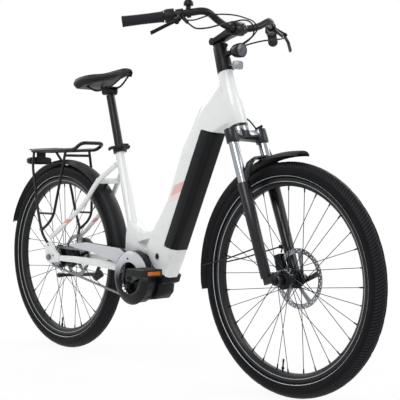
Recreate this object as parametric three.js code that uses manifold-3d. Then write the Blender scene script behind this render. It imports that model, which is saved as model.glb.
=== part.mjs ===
// Step-through electric bicycle with a suspension fork, a mid motor and a battery on the down tube.
// Lengths in millimetres. +X is forward, +Y is the rider's left, +Z is up.
// The origin is on the ground, half way between the two axles.
import * as THREE from 'three';
import { mergeVertices } from 'three/addons/utils/BufferGeometryUtils.js';
import Module from 'manifold-3d';

const wasm = await Module();
wasm.setup();

// Stance
const tyreRadius = 346;
const chainstayRun = 480.5;
const bottomBracketDrop = 42;
const frameReach = 397;
const frameStack = 668;
const headAngle = 71;
const forkRake = 51;
const seatAngle = 74.4;
const downTubeAngle = 64.2;

// Clearances and cuts
const seatGap = 0.3;
const runningGap = 1.5;
const overrun = 5;
const weldTolerance = 0.001;

// Wheels
const tyreWidth = 54;
const tyreWall = 4;
const rimWidth = 32;
const tyreSideHeight = 47;
const rimFlangeHeight = 7.5;
const rimDepth = 17.5;
const rimFlangeRadius = tyreRadius - tyreSideHeight;
const rimSeatRadius = rimFlangeRadius - rimFlangeHeight;
const rimBedRadius = rimSeatRadius - rimDepth;
const rimWall = 3;
const rimFlangeWall = 1.6;
const spokeRadius = 1.1;
const spokesPerSide = 16;
const wheelFacets = 32;
const frontHubWidth = 100;
const rearHubWidth = 135;
const frontAxleRadius = 6;
const rearAxleRadius = 5;
const frontFlangeRadius = 28;
const frontFlangeSpacing = 52;
const frontShellRadius = 16;
const rearFlangeRadius = 45;
const rearFlangeSpacing = 50;
const rearShellRadius = 38;
const hubFlangeWall = 4;
const hubEndRadius = 13;
const hubBearingStep = 6;
const frontRotorRadius = 90;
const rearRotorRadius = 80;
const rotorThickness = 2;
const frontRotorOffset = 41;
const rearRotorOffset = 52;
const rotorTrack = 15;
const rotorHubRadius = 24;

// Drive
const chainPitch = 12.7;
const chainRollerRadius = 3.85;
const chainPlateThickness = 1.3;
const chainInnerWidth = 3.4;
const chainPlateHeight = 8.4;
const chainLine = 45;
const chainringTeeth = 38;
const sprocketTeeth = 18;
const toothThickness = 2.4;
const crankLength = 170;
const crankRise = 12;
const crankWidth = 28;
const crankThickness = 13;
const crankInset = 62;
const crankOutset = 91;
const crankAxleRadius = 12;
const pedalLength = 98;
const pedalWidth = 84;
const pedalHeight = 22;
const pedalAxleRadius = 7;

// Motor and chain guard
const motorDiscRadius = 86;
const motorRightFace = 37;
const motorLeftFace = 50;
const motorBodyRight = 22;
const guardRadius = 92;
const guardWall = 2.5;
const guardFace = 64;
const guardDome = 12;
const guardRimDepth = 26;
const guardArmLength = 352;

// Main frame
const frameWidth = 74;
const batteryLength = 417;
const batteryDepth = 52.5;
const batteryEndRise = 12;
const batteryChamfer = 15;
const batteryTongueDepth = 26;
const batteryTongueWidth = 50;
const batteryTopGap = 4;
const batteryForward = 133;
const batteryHeight = 116;
const shellDepth = 60;
const headTubeLength = 177;
const headTubeTopRadius = 25.5;
const headTubeBottomRadius = 29;
const seatTubeLength = 465;
const seatTubeSetback = 22;
const seatTubeRadius = 18;
const seatpostRadius = 15.4;
const seatpostLength = 380;
const seatpostExposed = 192;
const strutThickness = 28;
const strutWidth = 32;

// Rear triangle
const chainstayHeight = 32;
const chainstayWidth = 18;
const dropoutThickness = 7;
const seatstayRadius = 9.5;

// Steering and fork
const steererRadius = 14.3;
const crownDrop = 22;
const crownHeight = 42;
const crownSocketRadius = 20;
const forkLegSpacing = 126;
const forkLegSetback = 30;
const stanchionRadius = 15;
const stanchionExposed = 130;
const stanchionLength = 330;
const forkTravel = 63;
const legTopRadius = 20;
const legBottomRadius = 16;
const archThickness = 9;
const archDepth = 30;
const spacerHeight = 86;
const spacerTopRadius = 22;
const spacerBottomRadius = 27;
const stemLength = 98;
const stemWidth = 42;
const stemPivotSetback = 10;
const stemPivotHeight = 22;
const barClampRadius = 15.9;
const barRadius = 11.1;
const gripLength = 120;
const gripRadius = 16;
const shifterLength = 34;
const shifterRadius = 19;
const leverClampLength = 24;
const hoseRadius = 2.5;

// Mudguards
const mudguardClearance = 21;
const mudguardRadius = tyreRadius + mudguardClearance;
const mudguardWidth = 62;
const mudguardWall = 2.5;
const mudguardSag = 14;

// Rack and lamps
const rackTubeRadius = 6;
const rackStrutRadius = 5;
const rackHalfWidth = 50;

// Materials: colour, roughness and metalness
const finishes = {
  pearlWhite: new THREE.MeshStandardMaterial({ color: 0xe9e9e6, roughness: 0.3, metalness: 0.1 }),
  satinBlack: new THREE.MeshStandardMaterial({ color: 0x18181a, roughness: 0.5, metalness: 0.2 }),
  glossBlack: new THREE.MeshStandardMaterial({ color: 0x0c0c0e, roughness: 0.2, metalness: 0.3 }),
  graphite: new THREE.MeshStandardMaterial({ color: 0x3a3b40, roughness: 0.4, metalness: 0.5 }),
  rubber: new THREE.MeshStandardMaterial({ color: 0x232326, roughness: 0.9, metalness: 0 }),
  chrome: new THREE.MeshStandardMaterial({ color: 0xd4d6da, roughness: 0.12, metalness: 1 }),
  steel: new THREE.MeshStandardMaterial({ color: 0xa8abaf, roughness: 0.3, metalness: 1 }),
  silverPaint: new THREE.MeshStandardMaterial({ color: 0x9fa3a8, roughness: 0.35, metalness: 0.6 }),
  redLens: new THREE.MeshStandardMaterial({ color: 0x5a0d12, roughness: 0.15, metalness: 0 }),
  clearLens: new THREE.MeshStandardMaterial({ color: 0xc8ccd0, roughness: 0.1, metalness: 0 }),
  saddleCover: new THREE.MeshStandardMaterial({ color: 0x1b1b1d, roughness: 0.7, metalness: 0 }),
};

const bicycle = new THREE.Group();
const degrees = Math.PI / 180;
const vec = (x, y, z) => new THREE.Vector3(x, y, z);
// Widen a faceted bore so that its flats keep the clearance.
const boreFor = (radius, gap, sides) => (radius + gap) / Math.cos(Math.PI / sides);

// Derived places
const steerTilt = (90 - headAngle) * degrees;
const frontDrop = frameStack - bottomBracketDrop;
const axleAlong = -(frontDrop + forkRake * Math.sin(steerTilt)) / Math.cos(steerTilt);
const frontRun = forkRake * Math.cos(steerTilt) - axleAlong * Math.sin(steerTilt);
const wheelbase = chainstayRun + frameReach + frontRun;
const rearAxle = vec(-wheelbase / 2, 0, tyreRadius);
const frontAxle = vec(wheelbase / 2, 0, tyreRadius);
const bottomBracket = vec(rearAxle.x + chainstayRun, 0, tyreRadius - bottomBracketDrop);
const headTop = vec(bottomBracket.x + frameReach, 0, bottomBracket.z + frameStack);

// Turn a geometry into a solid whose faces point out.
function solid(geometry) {
  const bare = geometry.clone();
  bare.deleteAttribute('normal');
  bare.deleteAttribute('uv');
  const welded = mergeVertices(bare, weldTolerance);
  const vertProperties = new Float32Array(welded.attributes.position.array);
  const triVerts = new Uint32Array(welded.index.array);
  let volume = 0;
  const corner = (index) => new THREE.Vector3().fromArray(vertProperties, 3 * triVerts[index]);
  for (let i = 0; i < triVerts.length; i += 3) {
    volume += corner(i).dot(corner(i + 1).cross(corner(i + 2)));
  }
  if (volume < 0) {
    for (let i = 0; i < triVerts.length; i += 3) {
      [triVerts[i], triVerts[i + 1]] = [triVerts[i + 1], triVerts[i]];
    }
  }
  return new wasm.Manifold(new wasm.Mesh({ numProp: 3, vertProperties, triVerts }));
}

// Join several geometries or solids into one.
function join(...pieces) {
  const solids = pieces.flat().map((piece) => (piece.isBufferGeometry ? solid(piece) : piece));
  return solids.reduce((whole, next) => whole.add(next));
}

// Add a named piece to a group.
function add(group, name, shape, material) {
  const body = shape.isBufferGeometry ? solid(shape) : shape;
  const result = body.getMesh();
  const geometry = new THREE.BufferGeometry();
  geometry.setAttribute('position', new THREE.BufferAttribute(new Float32Array(result.vertProperties), 3));
  geometry.setIndex(new THREE.BufferAttribute(new Uint32Array(result.triVerts), 1));
  geometry.computeVertexNormals();
  const mesh = new THREE.Mesh(geometry, material);
  mesh.name = name;
  group.add(mesh);
}

// Skin a row of rings that all have the same number of points.
function loft(rings) {
  const count = rings[0].length;
  const positions = rings.flat().flatMap((point) => point.toArray());
  const index = [];
  for (let row = 0; row < rings.length - 1; row += 1) {
    for (let i = 0; i < count; i += 1) {
      const a = row * count + i;
      const b = row * count + ((i + 1) % count);
      index.push(a, b, b + count, a, b + count, a + count);
    }
  }
  const last = (rings.length - 1) * count;
  for (let i = 1; i < count - 1; i += 1) {
    index.push(0, i + 1, i);
    index.push(last, last + i, last + i + 1);
  }
  const geometry = new THREE.BufferGeometry();
  geometry.setAttribute('position', new THREE.Float32BufferAttribute(positions, 3));
  geometry.setIndex(index);
  return geometry;
}

// A closed ring, from an ellipse (squareness 1) towards a rectangle (squareness below 1).
function ring(centre, across, up, halfWidth, halfHeight, sides, squareness = 1) {
  const bend = (value) => Math.sign(value) * Math.abs(value) ** squareness;
  return Array.from({ length: sides }, (_, i) => {
    const turn = ((i + 0.5) * 2 * Math.PI) / sides;
    return centre
      .clone()
      .addScaledVector(across, halfWidth * bend(Math.cos(turn)))
      .addScaledVector(up, halfHeight * bend(Math.sin(turn)));
  });
}

// A path whose stations lie only where the tube bends.
class BentPath extends THREE.Curve {
  constructor(stations) {
    super();
    this.stations = stations;
  }
  getPoint(share) {
    const place = Math.min(Math.max(share, 0), 1) * (this.stations.length - 1);
    const low = Math.min(Math.floor(place + 1e-9), this.stations.length - 2);
    return this.stations[low].clone().lerp(this.stations[low + 1], place - low);
  }
  getPointAt(share) {
    return this.getPoint(share);
  }
  getSpacedPoints(divisions) {
    return this.getPoints(divisions);
  }
  getTangentAt(share) {
    const place = Math.round(share * (this.stations.length - 1));
    const before = this.stations[Math.max(place - 1, 0)];
    const here = this.stations[place];
    const after = this.stations[Math.min(place + 1, this.stations.length - 1)];
    const arrive = here.clone().sub(before).normalize();
    const leave = after.clone().sub(here).normalize();
    return arrive.add(leave).normalize();
  }
}

// Replace each inner corner of a line of points by a curve of a few stations.
function rounded(points, bendRadius, bendSteps = 3) {
  const stations = [points[0].clone()];
  for (let i = 1; i < points.length - 1; i += 1) {
    const toBefore = points[i - 1].clone().sub(points[i]);
    const toAfter = points[i + 1].clone().sub(points[i]);
    const reach = Math.min(bendRadius, toBefore.length() * 0.45, toAfter.length() * 0.45);
    const start = points[i].clone().addScaledVector(toBefore.normalize(), reach);
    const end = points[i].clone().addScaledVector(toAfter.normalize(), reach);
    const bend = new THREE.QuadraticBezierCurve3(start, points[i], end);
    stations.push(...bend.getPoints(bendSteps));
  }
  stations.push(points[points.length - 1].clone());
  return stations;
}

// A round bar along a path of stations.
function bentBar(stations, radius, sides = 8) {
  const corners = Array.from({ length: sides }, (_, i) => {
    const turn = (i * 2 * Math.PI) / sides;
    return new THREE.Vector2(radius * Math.cos(turn), radius * Math.sin(turn));
  });
  return new THREE.ExtrudeGeometry(new THREE.Shape(corners), {
    steps: stations.length - 1,
    bevelEnabled: false,
    extrudePath: new BentPath(stations),
  });
}

// A straight bar between two points, with a radius at each end.
function bar(from, to, radius, endRadius = radius, sides = 12) {
  const length = from.distanceTo(to);
  const geometry = new THREE.CylinderGeometry(endRadius, radius, length, sides);
  geometry.translate(0, length / 2, 0);
  const aim = new THREE.Quaternion().setFromUnitVectors(vec(0, 1, 0), to.clone().sub(from).normalize());
  return geometry.applyQuaternion(aim).translate(from.x, from.y, from.z);
}

// A turned piece on the Y axis. The profile is a list of radius and place pairs.
function turned(profile, segments) {
  const points = profile.map(([radius, place]) => new THREE.Vector2(radius, place));
  if (profile[0][0] > 0) points.push(points[0].clone());
  return new THREE.LatheGeometry(points, segments);
}

// A turned ring with a bore, on the Y axis.
function turnedSleeve(innerRadius, outerRadius, low, high, segments = 20) {
  return turned(
    [[innerRadius, low], [outerRadius, low], [outerRadius, high], [innerRadius, high]],
    segments,
  );
}

// Stand a geometry that was turned on the Y axis up on another axis through a point.
function aimed(geometry, from, direction) {
  const aim = new THREE.Quaternion().setFromUnitVectors(vec(0, 1, 0), direction.clone().normalize());
  return geometry.applyQuaternion(aim).translate(from.x, from.y, from.z);
}

// A side outline in X and Z, thickened in Y from low to high with rounded edges.
const curveSteps = 10;
function sidePlate(outline, low, high, edge = 0, edgeSteps = 2) {
  const corners = () => outline.map(([x, z]) => new THREE.Vector2(x, z));
  const given = outline instanceof THREE.Shape ? outline : new THREE.Shape(corners());
  const points = given.getPoints(curveSteps);
  const shape = new THREE.Shape(THREE.ShapeUtils.isClockWise(points) ? points.reverse() : points);
  shape.holes = given.holes;
  const geometry = new THREE.ExtrudeGeometry(shape, {
    depth: high - low - 2 * edge,
    bevelEnabled: edge > 0,
    bevelThickness: edge,
    bevelSize: edge,
    bevelOffset: -edge,
    bevelSegments: edgeSteps,
    curveSegments: curveSteps,
  });
  return geometry.rotateX(Math.PI / 2).translate(0, high - edge, 0);
}

// Wheels

const tyreTurnShares = [-0.7, -0.47, -0.24, 0, 0.24, 0.47, 0.7];
function tyre() {
  const middle = tyreRadius - tyreWidth / 2;
  const outerHalf = tyreWidth / 2;
  const innerHalf = outerHalf - tyreWall;
  const beadOuter = rimWidth / 2 - rimFlangeWall - seatGap;
  const beadInner = beadOuter - tyreWall;
  const beadFoot = rimSeatRadius + seatGap;
  const profile = tyreTurnShares.map((share) => {
    const turn = share * Math.PI;
    return [middle + outerHalf * Math.cos(turn), outerHalf * Math.sin(turn)];
  });
  const flangeTop = rimFlangeRadius + seatGap * 2;
  profile.push([flangeTop, beadOuter], [beadFoot, beadOuter], [beadFoot, beadInner]);
  const inside = middle - tyreWall * 2;
  profile.push([inside, innerHalf * 0.7], [middle + innerHalf, 0], [inside, -innerHalf * 0.7]);
  profile.push([beadFoot, -beadInner], [beadFoot, -beadOuter], [flangeTop, -beadOuter]);
  return turned(profile, wheelFacets);
}

function rim() {
  const half = rimWidth / 2;
  const inside = half - rimFlangeWall;
  const bedHalf = half * 0.42;
  const side = [[rimFlangeRadius, half], [rimFlangeRadius, inside], [rimSeatRadius, inside]];
  side.push([rimBedRadius + rimWall, bedHalf * 0.6]);
  const mirrored = side.map(([radius, place]) => [radius, -place]).reverse();
  const shoulder = rimFlangeRadius - (rimFlangeRadius - rimBedRadius) * 0.45;
  const bed = [[shoulder, -half], [rimBedRadius, -bedHalf], [rimBedRadius, bedHalf], [shoulder, half]];
  return turned([...side, ...mirrored, ...bed], wheelFacets);
}

// The hub shell with its flanges, rotor seat and spokes, which cross three others on each side.
function spokedHub({
  width,
  flangeRadius,
  spacing,
  shellRadius,
  axleRadius,
  rotorOffset,
  driverEnd,
  driverRadius,
}) {
  const end = width / 2 - seatGap;
  const flange = spacing / 2;
  const half = hubFlangeWall / 2;
  const bore = axleRadius + seatGap;
  const rotorFace = rotorOffset - rotorThickness / 2 - seatGap;
  const spigotEnd = rotorOffset + rotorThickness * 2;
  const bossRadius = rotorHubRadius - hubBearingStep / 2;
  const profile = [
    [bore, -end],
    [hubEndRadius, -end],
    [hubEndRadius, -driverEnd],
    [driverRadius, -driverEnd],
    [driverRadius, -flange - hubBearingStep],
    [flangeRadius, -flange - half],
    [flangeRadius, -flange + half],
    [shellRadius, -flange + hubBearingStep],
    [shellRadius, flange - hubBearingStep],
    [flangeRadius, flange - half],
    [flangeRadius, flange + half],
    [bossRadius, flange + hubBearingStep],
    [bossRadius, rotorFace],
    [rotorSpigotRadius, rotorFace],
    [rotorSpigotRadius, spigotEnd],
    [hubEndRadius, spigotEnd],
    [hubEndRadius, end],
    [bore, end],
  ];
  const pieces = [turned(profile, 12)];
  const holeRadius = flangeRadius - hubFlangeWall;
  const rimReach = rimBedRadius - seatGap * 2;
  const slot = (2 * Math.PI) / spokesPerSide;
  const crossed = 3;
  const polar = (radius, turn, place) => vec(radius * Math.sin(turn), place, radius * Math.cos(turn));
  for (const side of [-1, 1]) {
    for (let i = 0; i < spokesPerSide; i += 1) {
      const lean = i % 2 === 0 ? 1 : -1;
      const rimTurn = (i + (side + 1) / 4) * slot;
      const hubTurn = rimTurn + lean * crossed * slot;
      const from = polar(holeRadius, hubTurn, side * (flange + lean * half));
      const to = polar(rimReach, rimTurn, side * (rimWidth * 0.12 + lean * spokeRadius));
      pieces.push(bar(from, to, spokeRadius, spokeRadius, 3));
    }
  }
  return join(pieces);
}

// A brake disc with a drilled track, joined to its hub ring by arms.
const rotorSpigotRadius = 17;
const rotorArms = 5;
const rotorHoles = 10;
const rotorHoleRadius = 3.2;
function rotor(radius, offset) {
  const shape = new THREE.Shape(circlePoints(radius, 24));
  shape.holes.push(new THREE.Path(circlePoints(boreFor(rotorSpigotRadius, seatGap, 16), 16)));
  const trackInner = radius - rotorTrack;
  const slot = (2 * Math.PI) / rotorArms;
  const at = (r, turn) => new THREE.Vector2(r * Math.cos(turn), r * Math.sin(turn));
  for (let i = 0; i < rotorArms; i += 1) {
    const start = i * slot;
    const window = [at(rotorHubRadius, start), at(rotorHubRadius, start + slot * 0.6)];
    window.push(
      at(trackInner, start + slot * 1.1),
      at(trackInner, start + slot * 0.7),
      at(trackInner, start + slot * 0.3),
    );
    shape.holes.push(new THREE.Path(window));
  }
  for (let i = 0; i < rotorHoles; i += 1) {
    const place = at(radius - rotorTrack / 2, ((i + 0.5) * 2 * Math.PI) / rotorHoles);
    shape.holes.push(new THREE.Path(circlePoints(rotorHoleRadius, 4, place)));
  }
  const half = rotorThickness / 2;
  return sidePlate(shape, offset - half, offset + half);
}

// Points round a circle, for outlines and holes.
function circlePoints(radius, count, middle = new THREE.Vector2()) {
  return Array.from({ length: count }, (_, i) => {
    const turn = (i * 2 * Math.PI) / count;
    return new THREE.Vector2(middle.x + radius * Math.cos(turn), middle.y + radius * Math.sin(turn));
  });
}

function wheelGroup(place) {
  const group = new THREE.Group();
  group.position.copy(place);
  bicycle.add(group);
  return group;
}

const frontWheel = wheelGroup(frontAxle);
const frontHub = {
  width: frontHubWidth,
  flangeRadius: frontFlangeRadius,
  spacing: frontFlangeSpacing,
  shellRadius: frontShellRadius,
  axleRadius: frontAxleRadius,
  rotorOffset: frontRotorOffset,
  driverEnd: frontFlangeSpacing / 2 + hubBearingStep * 2,
  driverRadius: frontShellRadius,
};
add(frontWheel, 'front_tyre', tyre(), finishes.rubber);
add(frontWheel, 'front_rim', rim(), finishes.satinBlack);
add(frontWheel, 'front_hub', spokedHub(frontHub), finishes.satinBlack);
add(frontWheel, 'front_rotor', rotor(frontRotorRadius, frontRotorOffset), finishes.steel);

const rearWheel = wheelGroup(rearAxle);
const driverRadius = 17;
const rearHub = {
  width: rearHubWidth,
  flangeRadius: rearFlangeRadius,
  spacing: rearFlangeSpacing,
  shellRadius: rearShellRadius,
  axleRadius: rearAxleRadius,
  rotorOffset: rearRotorOffset,
  driverEnd: chainLine + hubBearingStep * 2,
  driverRadius,
};
add(rearWheel, 'rear_tyre', tyre(), finishes.rubber);
add(rearWheel, 'rear_rim', rim(), finishes.satinBlack);
add(rearWheel, 'rear_hub', spokedHub(rearHub), finishes.satinBlack);
add(rearWheel, 'rear_rotor', rotor(rearRotorRadius, rearRotorOffset), finishes.steel);

// Chain drive
const pitchRadius = (teeth) => chainPitch / (2 * Math.sin(Math.PI / teeth));
const chainringRadius = pitchRadius(chainringTeeth);
const sprocketRadius = pitchRadius(sprocketTeeth);
const chainSpan = Math.hypot(chainstayRun, bottomBracketDrop);
const spanTurn = Math.atan2(bottomBracketDrop, -chainstayRun);
const openTurn = Math.acos((chainringRadius - sprocketRadius) / chainSpan);
// Turns are taken from +X towards +Z. The upper run leaves the chainring at topTurn.
const topTurn = spanTurn - openTurn;
const bottomTurn = spanTurn + openTurn;
const onCircle = (centre, radius, turn) =>
  new THREE.Vector2(centre.x + radius * Math.cos(turn), centre.z + radius * Math.sin(turn));

// The roller centres: each one round the chainring and the sprocket, every second one between them.
function rollerPlaces() {
  const wrap = bottomTurn - topTurn;
  const ringLinks = Math.round(((2 * Math.PI - wrap) * chainringTeeth) / (2 * Math.PI));
  const sprocketLinks = Math.ceil((wrap * sprocketTeeth) / (2 * Math.PI));
  const ringTurn = (i) => topTurn - (i * 2 * Math.PI) / chainringTeeth;
  const sprocketTurn = (i) => topTurn + ((sprocketLinks - i) * 2 * Math.PI) / sprocketTeeth;
  const onRing = Array.from(
    { length: ringLinks + 1 },
    (_, i) => onCircle(bottomBracket, chainringRadius, ringTurn(i)),
  );
  const onSprocket = Array.from({ length: sprocketLinks + 1 }, (_, i) =>
    onCircle(rearAxle, sprocketRadius, sprocketTurn(i)));
  const between = (from, to) => {
    const links = Math.round(from.distanceTo(to) / chainPitch);
    const pins = Array.from({ length: links - 1 }, (_, i) => from.clone().lerp(to, (i + 1) / links));
    return pins.filter((_, i) => i % 2 > 0);
  };
  const below = between(onRing[onRing.length - 1], onSprocket[0]);
  const above = between(onSprocket[onSprocket.length - 1], onRing[0]);
  return { bends: [...onRing, ...onSprocket], rollers: [...onRing, ...below, ...onSprocket, ...above] };
}

// Two rows of plates with a roller at every pin, so that teeth enter between the plates.
function driveChain() {
  const { bends, rollers } = rollerPlaces();
  const count = bends.length;
  const edge = (height) =>
    bends.map((here, i) => {
      const arrive = here.clone().sub(bends[(i + count - 1) % count]).normalize();
      const leave = bends[(i + 1) % count].clone().sub(here).normalize();
      const along = arrive.add(leave).normalize();
      return here.clone().add(new THREE.Vector2(-along.y, along.x).multiplyScalar(height));
    });
  const half = chainPlateHeight / 2;
  const inner = chainInnerWidth / 2;
  const outer = inner + chainPlateThickness;
  const pieces = [];
  for (const [low, high] of [[-outer, -inner], [inner, outer]]) {
    const band = new THREE.Shape(edge(half));
    band.holes.push(new THREE.Path(edge(-half)));
    pieces.push(sidePlate(band, low - chainLine, high - chainLine));
  }
  const reach = inner + chainPlateThickness / 2;
  for (const place of rollers) {
    const from = vec(place.x, -chainLine - reach, place.y);
    const to = vec(place.x, -chainLine + reach, place.y);
    pieces.push(bar(from, to, chainRollerRadius, chainRollerRadius, 3));
  }
  return join(pieces);
}

// A toothed plate whose seats lie under the rollers, with a tooth tip between each two.
const toothSeatHalf = 2.2;
const toothSeatDrop = 4.6;
const toothTipInset = 0.8;
const toothTipRise = 2.6;
function toothedOutline(teeth, radius, firstTurn) {
  const points = [];
  for (let i = 0; i < teeth; i += 1) {
    const seatTurn = firstTurn + (i * 2 * Math.PI) / teeth;
    const tipTurn = Math.PI / teeth - toothTipInset / radius;
    const seatSpread = toothSeatHalf / radius;
    for (const [turn, rise] of [
      [-tipTurn, toothTipRise],
      [-seatSpread, -toothSeatDrop],
      [seatSpread, -toothSeatDrop],
      [tipTurn, toothTipRise],
    ]) {
      const reach = radius + rise;
      points.push(new THREE.Vector2(reach * Math.cos(seatTurn + turn), reach * Math.sin(seatTurn + turn)));
    }
  }
  return new THREE.Shape(points);
}

const toothLow = -chainLine - toothThickness / 2;
const toothHigh = -chainLine + toothThickness / 2;
const sprocket = toothedOutline(sprocketTeeth, sprocketRadius, topTurn);
sprocket.holes.push(new THREE.Path(circlePoints((driverRadius + seatGap) / Math.cos(Math.PI / 20), 20)));
add(wheelGroup(rearAxle), 'rear_sprocket', sidePlate(sprocket, toothLow, toothHigh), finishes.steel);

const spiderArms = 5;
const spiderHubRadius = 24;
const spiderRingShare = 0.8;
const chainring = toothedOutline(chainringTeeth, chainringRadius, topTurn);
chainring.holes.push(new THREE.Path(circlePoints(
  (crankAxleRadius + seatGap) / Math.cos(Math.PI / 16),
  16,
)));
for (let i = 0; i < spiderArms; i += 1) {
  const slot = (2 * Math.PI) / spiderArms;
  const at = (r, share) => new THREE.Vector2(
    r * Math.cos((i + share) * slot),
    r * Math.sin((i + share) * slot),
  );
  const far = chainringRadius * spiderRingShare;
  const window = [
    at(spiderHubRadius, 0.3),
    at(far, 0.12),
    at(far, 0.5),
    at(far, 0.88),
    at(spiderHubRadius, 0.7),
  ];
  chainring.holes.push(new THREE.Path(window));
}
const drive = wheelGroup(bottomBracket);
add(drive, 'chainring', sidePlate(chainring, toothLow, toothHigh), finishes.graphite);
add(bicycle, 'drive_chain', driveChain(), finishes.steel);

// Cranks: two arms that step out past the chain guard, on one axle.
const crankBossRadius = 18;
const crankStepShares = [-0.09, 0.09, 0.17, 0.29, 0.42, 0.9, 1.08];
const crankOutShares = [0, 0, 0.1, 0.86, 0.95, 1, 1];
const crankWidthShares = [0.55, 1.25, 1.15, 1, 0.92, 0.88, 0.5];
function crankSet() {
  const axleReach = crankInset + crankThickness;
  const pieces = [bar(vec(0, -axleReach, 0), vec(0, axleReach, 0), crankAxleRadius, crankAxleRadius, 12)];
  const collar = chainLine + toothThickness / 2 + seatGap;
  pieces.push(bar(vec(0, -crankInset, 0), vec(0, -collar, 0), crankBossRadius, crankBossRadius, 14));
  for (const side of [-1, 1]) {
    const turn = crankRise * degrees;
    const along = vec(-side * Math.cos(turn), 0, -side * Math.sin(turn));
    const across = vec(Math.sin(turn), 0, -Math.cos(turn));
    const middle = crankInset + crankThickness / 2;
    const rings = crankStepShares.map((share, i) => {
      const out = middle + (crankOutset - middle) * crankOutShares[i];
      const centre = along.clone().multiplyScalar(share * crankLength).setY(side * out);
      const halfWidth = (crankWidth / 2) * crankWidthShares[i];
      return ring(centre, across, vec(0, 1, 0), halfWidth, crankThickness / 2, 6, 0.6);
    });
    pieces.push(loft(rings));
    const end = along.clone().multiplyScalar(crankLength);
    const spindleEnd = side * (crankOutset + crankThickness / 2 + pedalWidth * 0.9);
    pieces.push(bar(
      end.clone().setY(side * crankOutset),
      end.setY(spindleEnd),
      pedalAxleRadius,
      pedalAxleRadius,
      12,
    ));
  }
  return join(pieces);
}
add(drive, 'crankset', crankSet(), finishes.satinBlack);

// Pedals: a frame with two windows and a centre tube on the spindle.
const pedalBar = 12;
function pedal(side) {
  const length = pedalLength / 2;
  const width = pedalWidth / 2;
  const corner = pedalBar * 0.8;
  const outline = [
    [-length + corner, -width],
    [length - corner, -width],
    [length, -width + corner],
    [length, width - corner],
    [length - corner, width],
    [-length + corner, width],
    [-length, width - corner],
    [-length, -width + corner],
  ];
  const shape = new THREE.Shape(outline.map(([x, y]) => new THREE.Vector2(x, y)));
  const plate = new THREE.ExtrudeGeometry(shape, { depth: pedalHeight, bevelEnabled: false });
  let body = solid(plate.translate(0, 0, -pedalHeight / 2));
  const core = pedalAxleRadius * 2;
  for (const end of [-1, 1]) {
    const window = new THREE.BoxGeometry(
      length - pedalBar - core,
      pedalWidth - pedalBar * 2,
      pedalHeight + overrun,
    );
    body = body.subtract(solid(window.translate((end * (length - pedalBar + core)) / 2, 0, 0)));
  }
  const boreRadius = (pedalAxleRadius + seatGap) / Math.cos(Math.PI / 12);
  const bore = bar(
    vec(0, -side * (width + overrun), 0),
    vec(0, side * width * 0.9, 0),
    boreRadius,
    boreRadius,
    12,
  );
  return body.subtract(solid(bore));
}
const crankTurn = crankRise * degrees;
for (const [side, name] of [[-1, 'pedal_right'], [1, 'pedal_left']]) {
  const group = wheelGroup(bottomBracket);
  const reach = -side * crankLength;
  group.position.x += reach * Math.cos(crankTurn);
  group.position.z += reach * Math.sin(crankTurn);
  group.position.y = side * (crankOutset + crankThickness / 2 + runningGap + pedalWidth / 2);
  add(group, name, pedal(side), finishes.satinBlack);
}

// Axles and their nuts
const nutRadius = 11;
const nutLength = 9;
function axle(width, radius, grip, place) {
  const inner = width / 2 + grip + seatGap;
  const outer = inner + nutLength;
  const nuts = [-1, 1].map((side) => bar(
    vec(0, side * inner, 0),
    vec(0, side * outer, 0),
    nutRadius,
    nutRadius,
    6,
  ));
  return join(bar(vec(0, -outer - seatGap, 0), vec(0, outer + seatGap, 0), radius, radius, 12), nuts);
}
add(
  wheelGroup(rearAxle),
  'rear_axle',
  axle(rearHubWidth, rearAxleRadius, dropoutThickness),
  finishes.steel,
);
const forkDropoutWall = 12;
add(
  wheelGroup(frontAxle),
  'front_axle',
  axle(frontHubWidth, frontAxleRadius, forkDropoutWall),
  finishes.satinBlack,
);

// Places along the slanting parts
const slope = downTubeAngle * degrees;
const tubeFoot = vec(bottomBracket.x + batteryForward, 0, bottomBracket.z + batteryHeight);
// Along the down tube, out towards the front wheel, and to the left.
const onTube = (along, out, side = 0) =>
  vec(
    tubeFoot.x + along * Math.cos(slope) + out * Math.sin(slope),
    side,
    tubeFoot.z + along * Math.sin(slope) - out * Math.cos(slope),
  );
// Ahead of the steering axis, up from the top of the head tube, and to the left.
const onSteer = (ahead, up, side = 0) =>
  vec(
    headTop.x + ahead * Math.cos(steerTilt) - up * Math.sin(steerTilt),
    side,
    headTop.z + ahead * Math.sin(steerTilt) + up * Math.cos(steerTilt),
  );
// Up the seat tube from the bottom bracket, behind its axis, and to the left.
const seatLean = seatAngle * degrees;
const onSeatTube = (up, behind = 0, side = 0) =>
  vec(
    bottomBracket.x - seatTubeSetback - up * Math.cos(seatLean) - behind * Math.sin(seatLean),
    side,
    bottomBracket.z + up * Math.sin(seatLean) - behind * Math.cos(seatLean),
  );
// Shares of a size, laid out from a base place.
const outlineFrom = (base, size, shares) => shares.map(([x, z]) => [base.x + x * size, base.z + z * size]);
const spotsFrom = (base, size, shares, side = 1) =>
  shares.map(([x, y, z]) => vec(base.x + x * size, base.y + side * y * size, base.z + z * size));
const sideways = vec(0, 1, 0);

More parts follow.
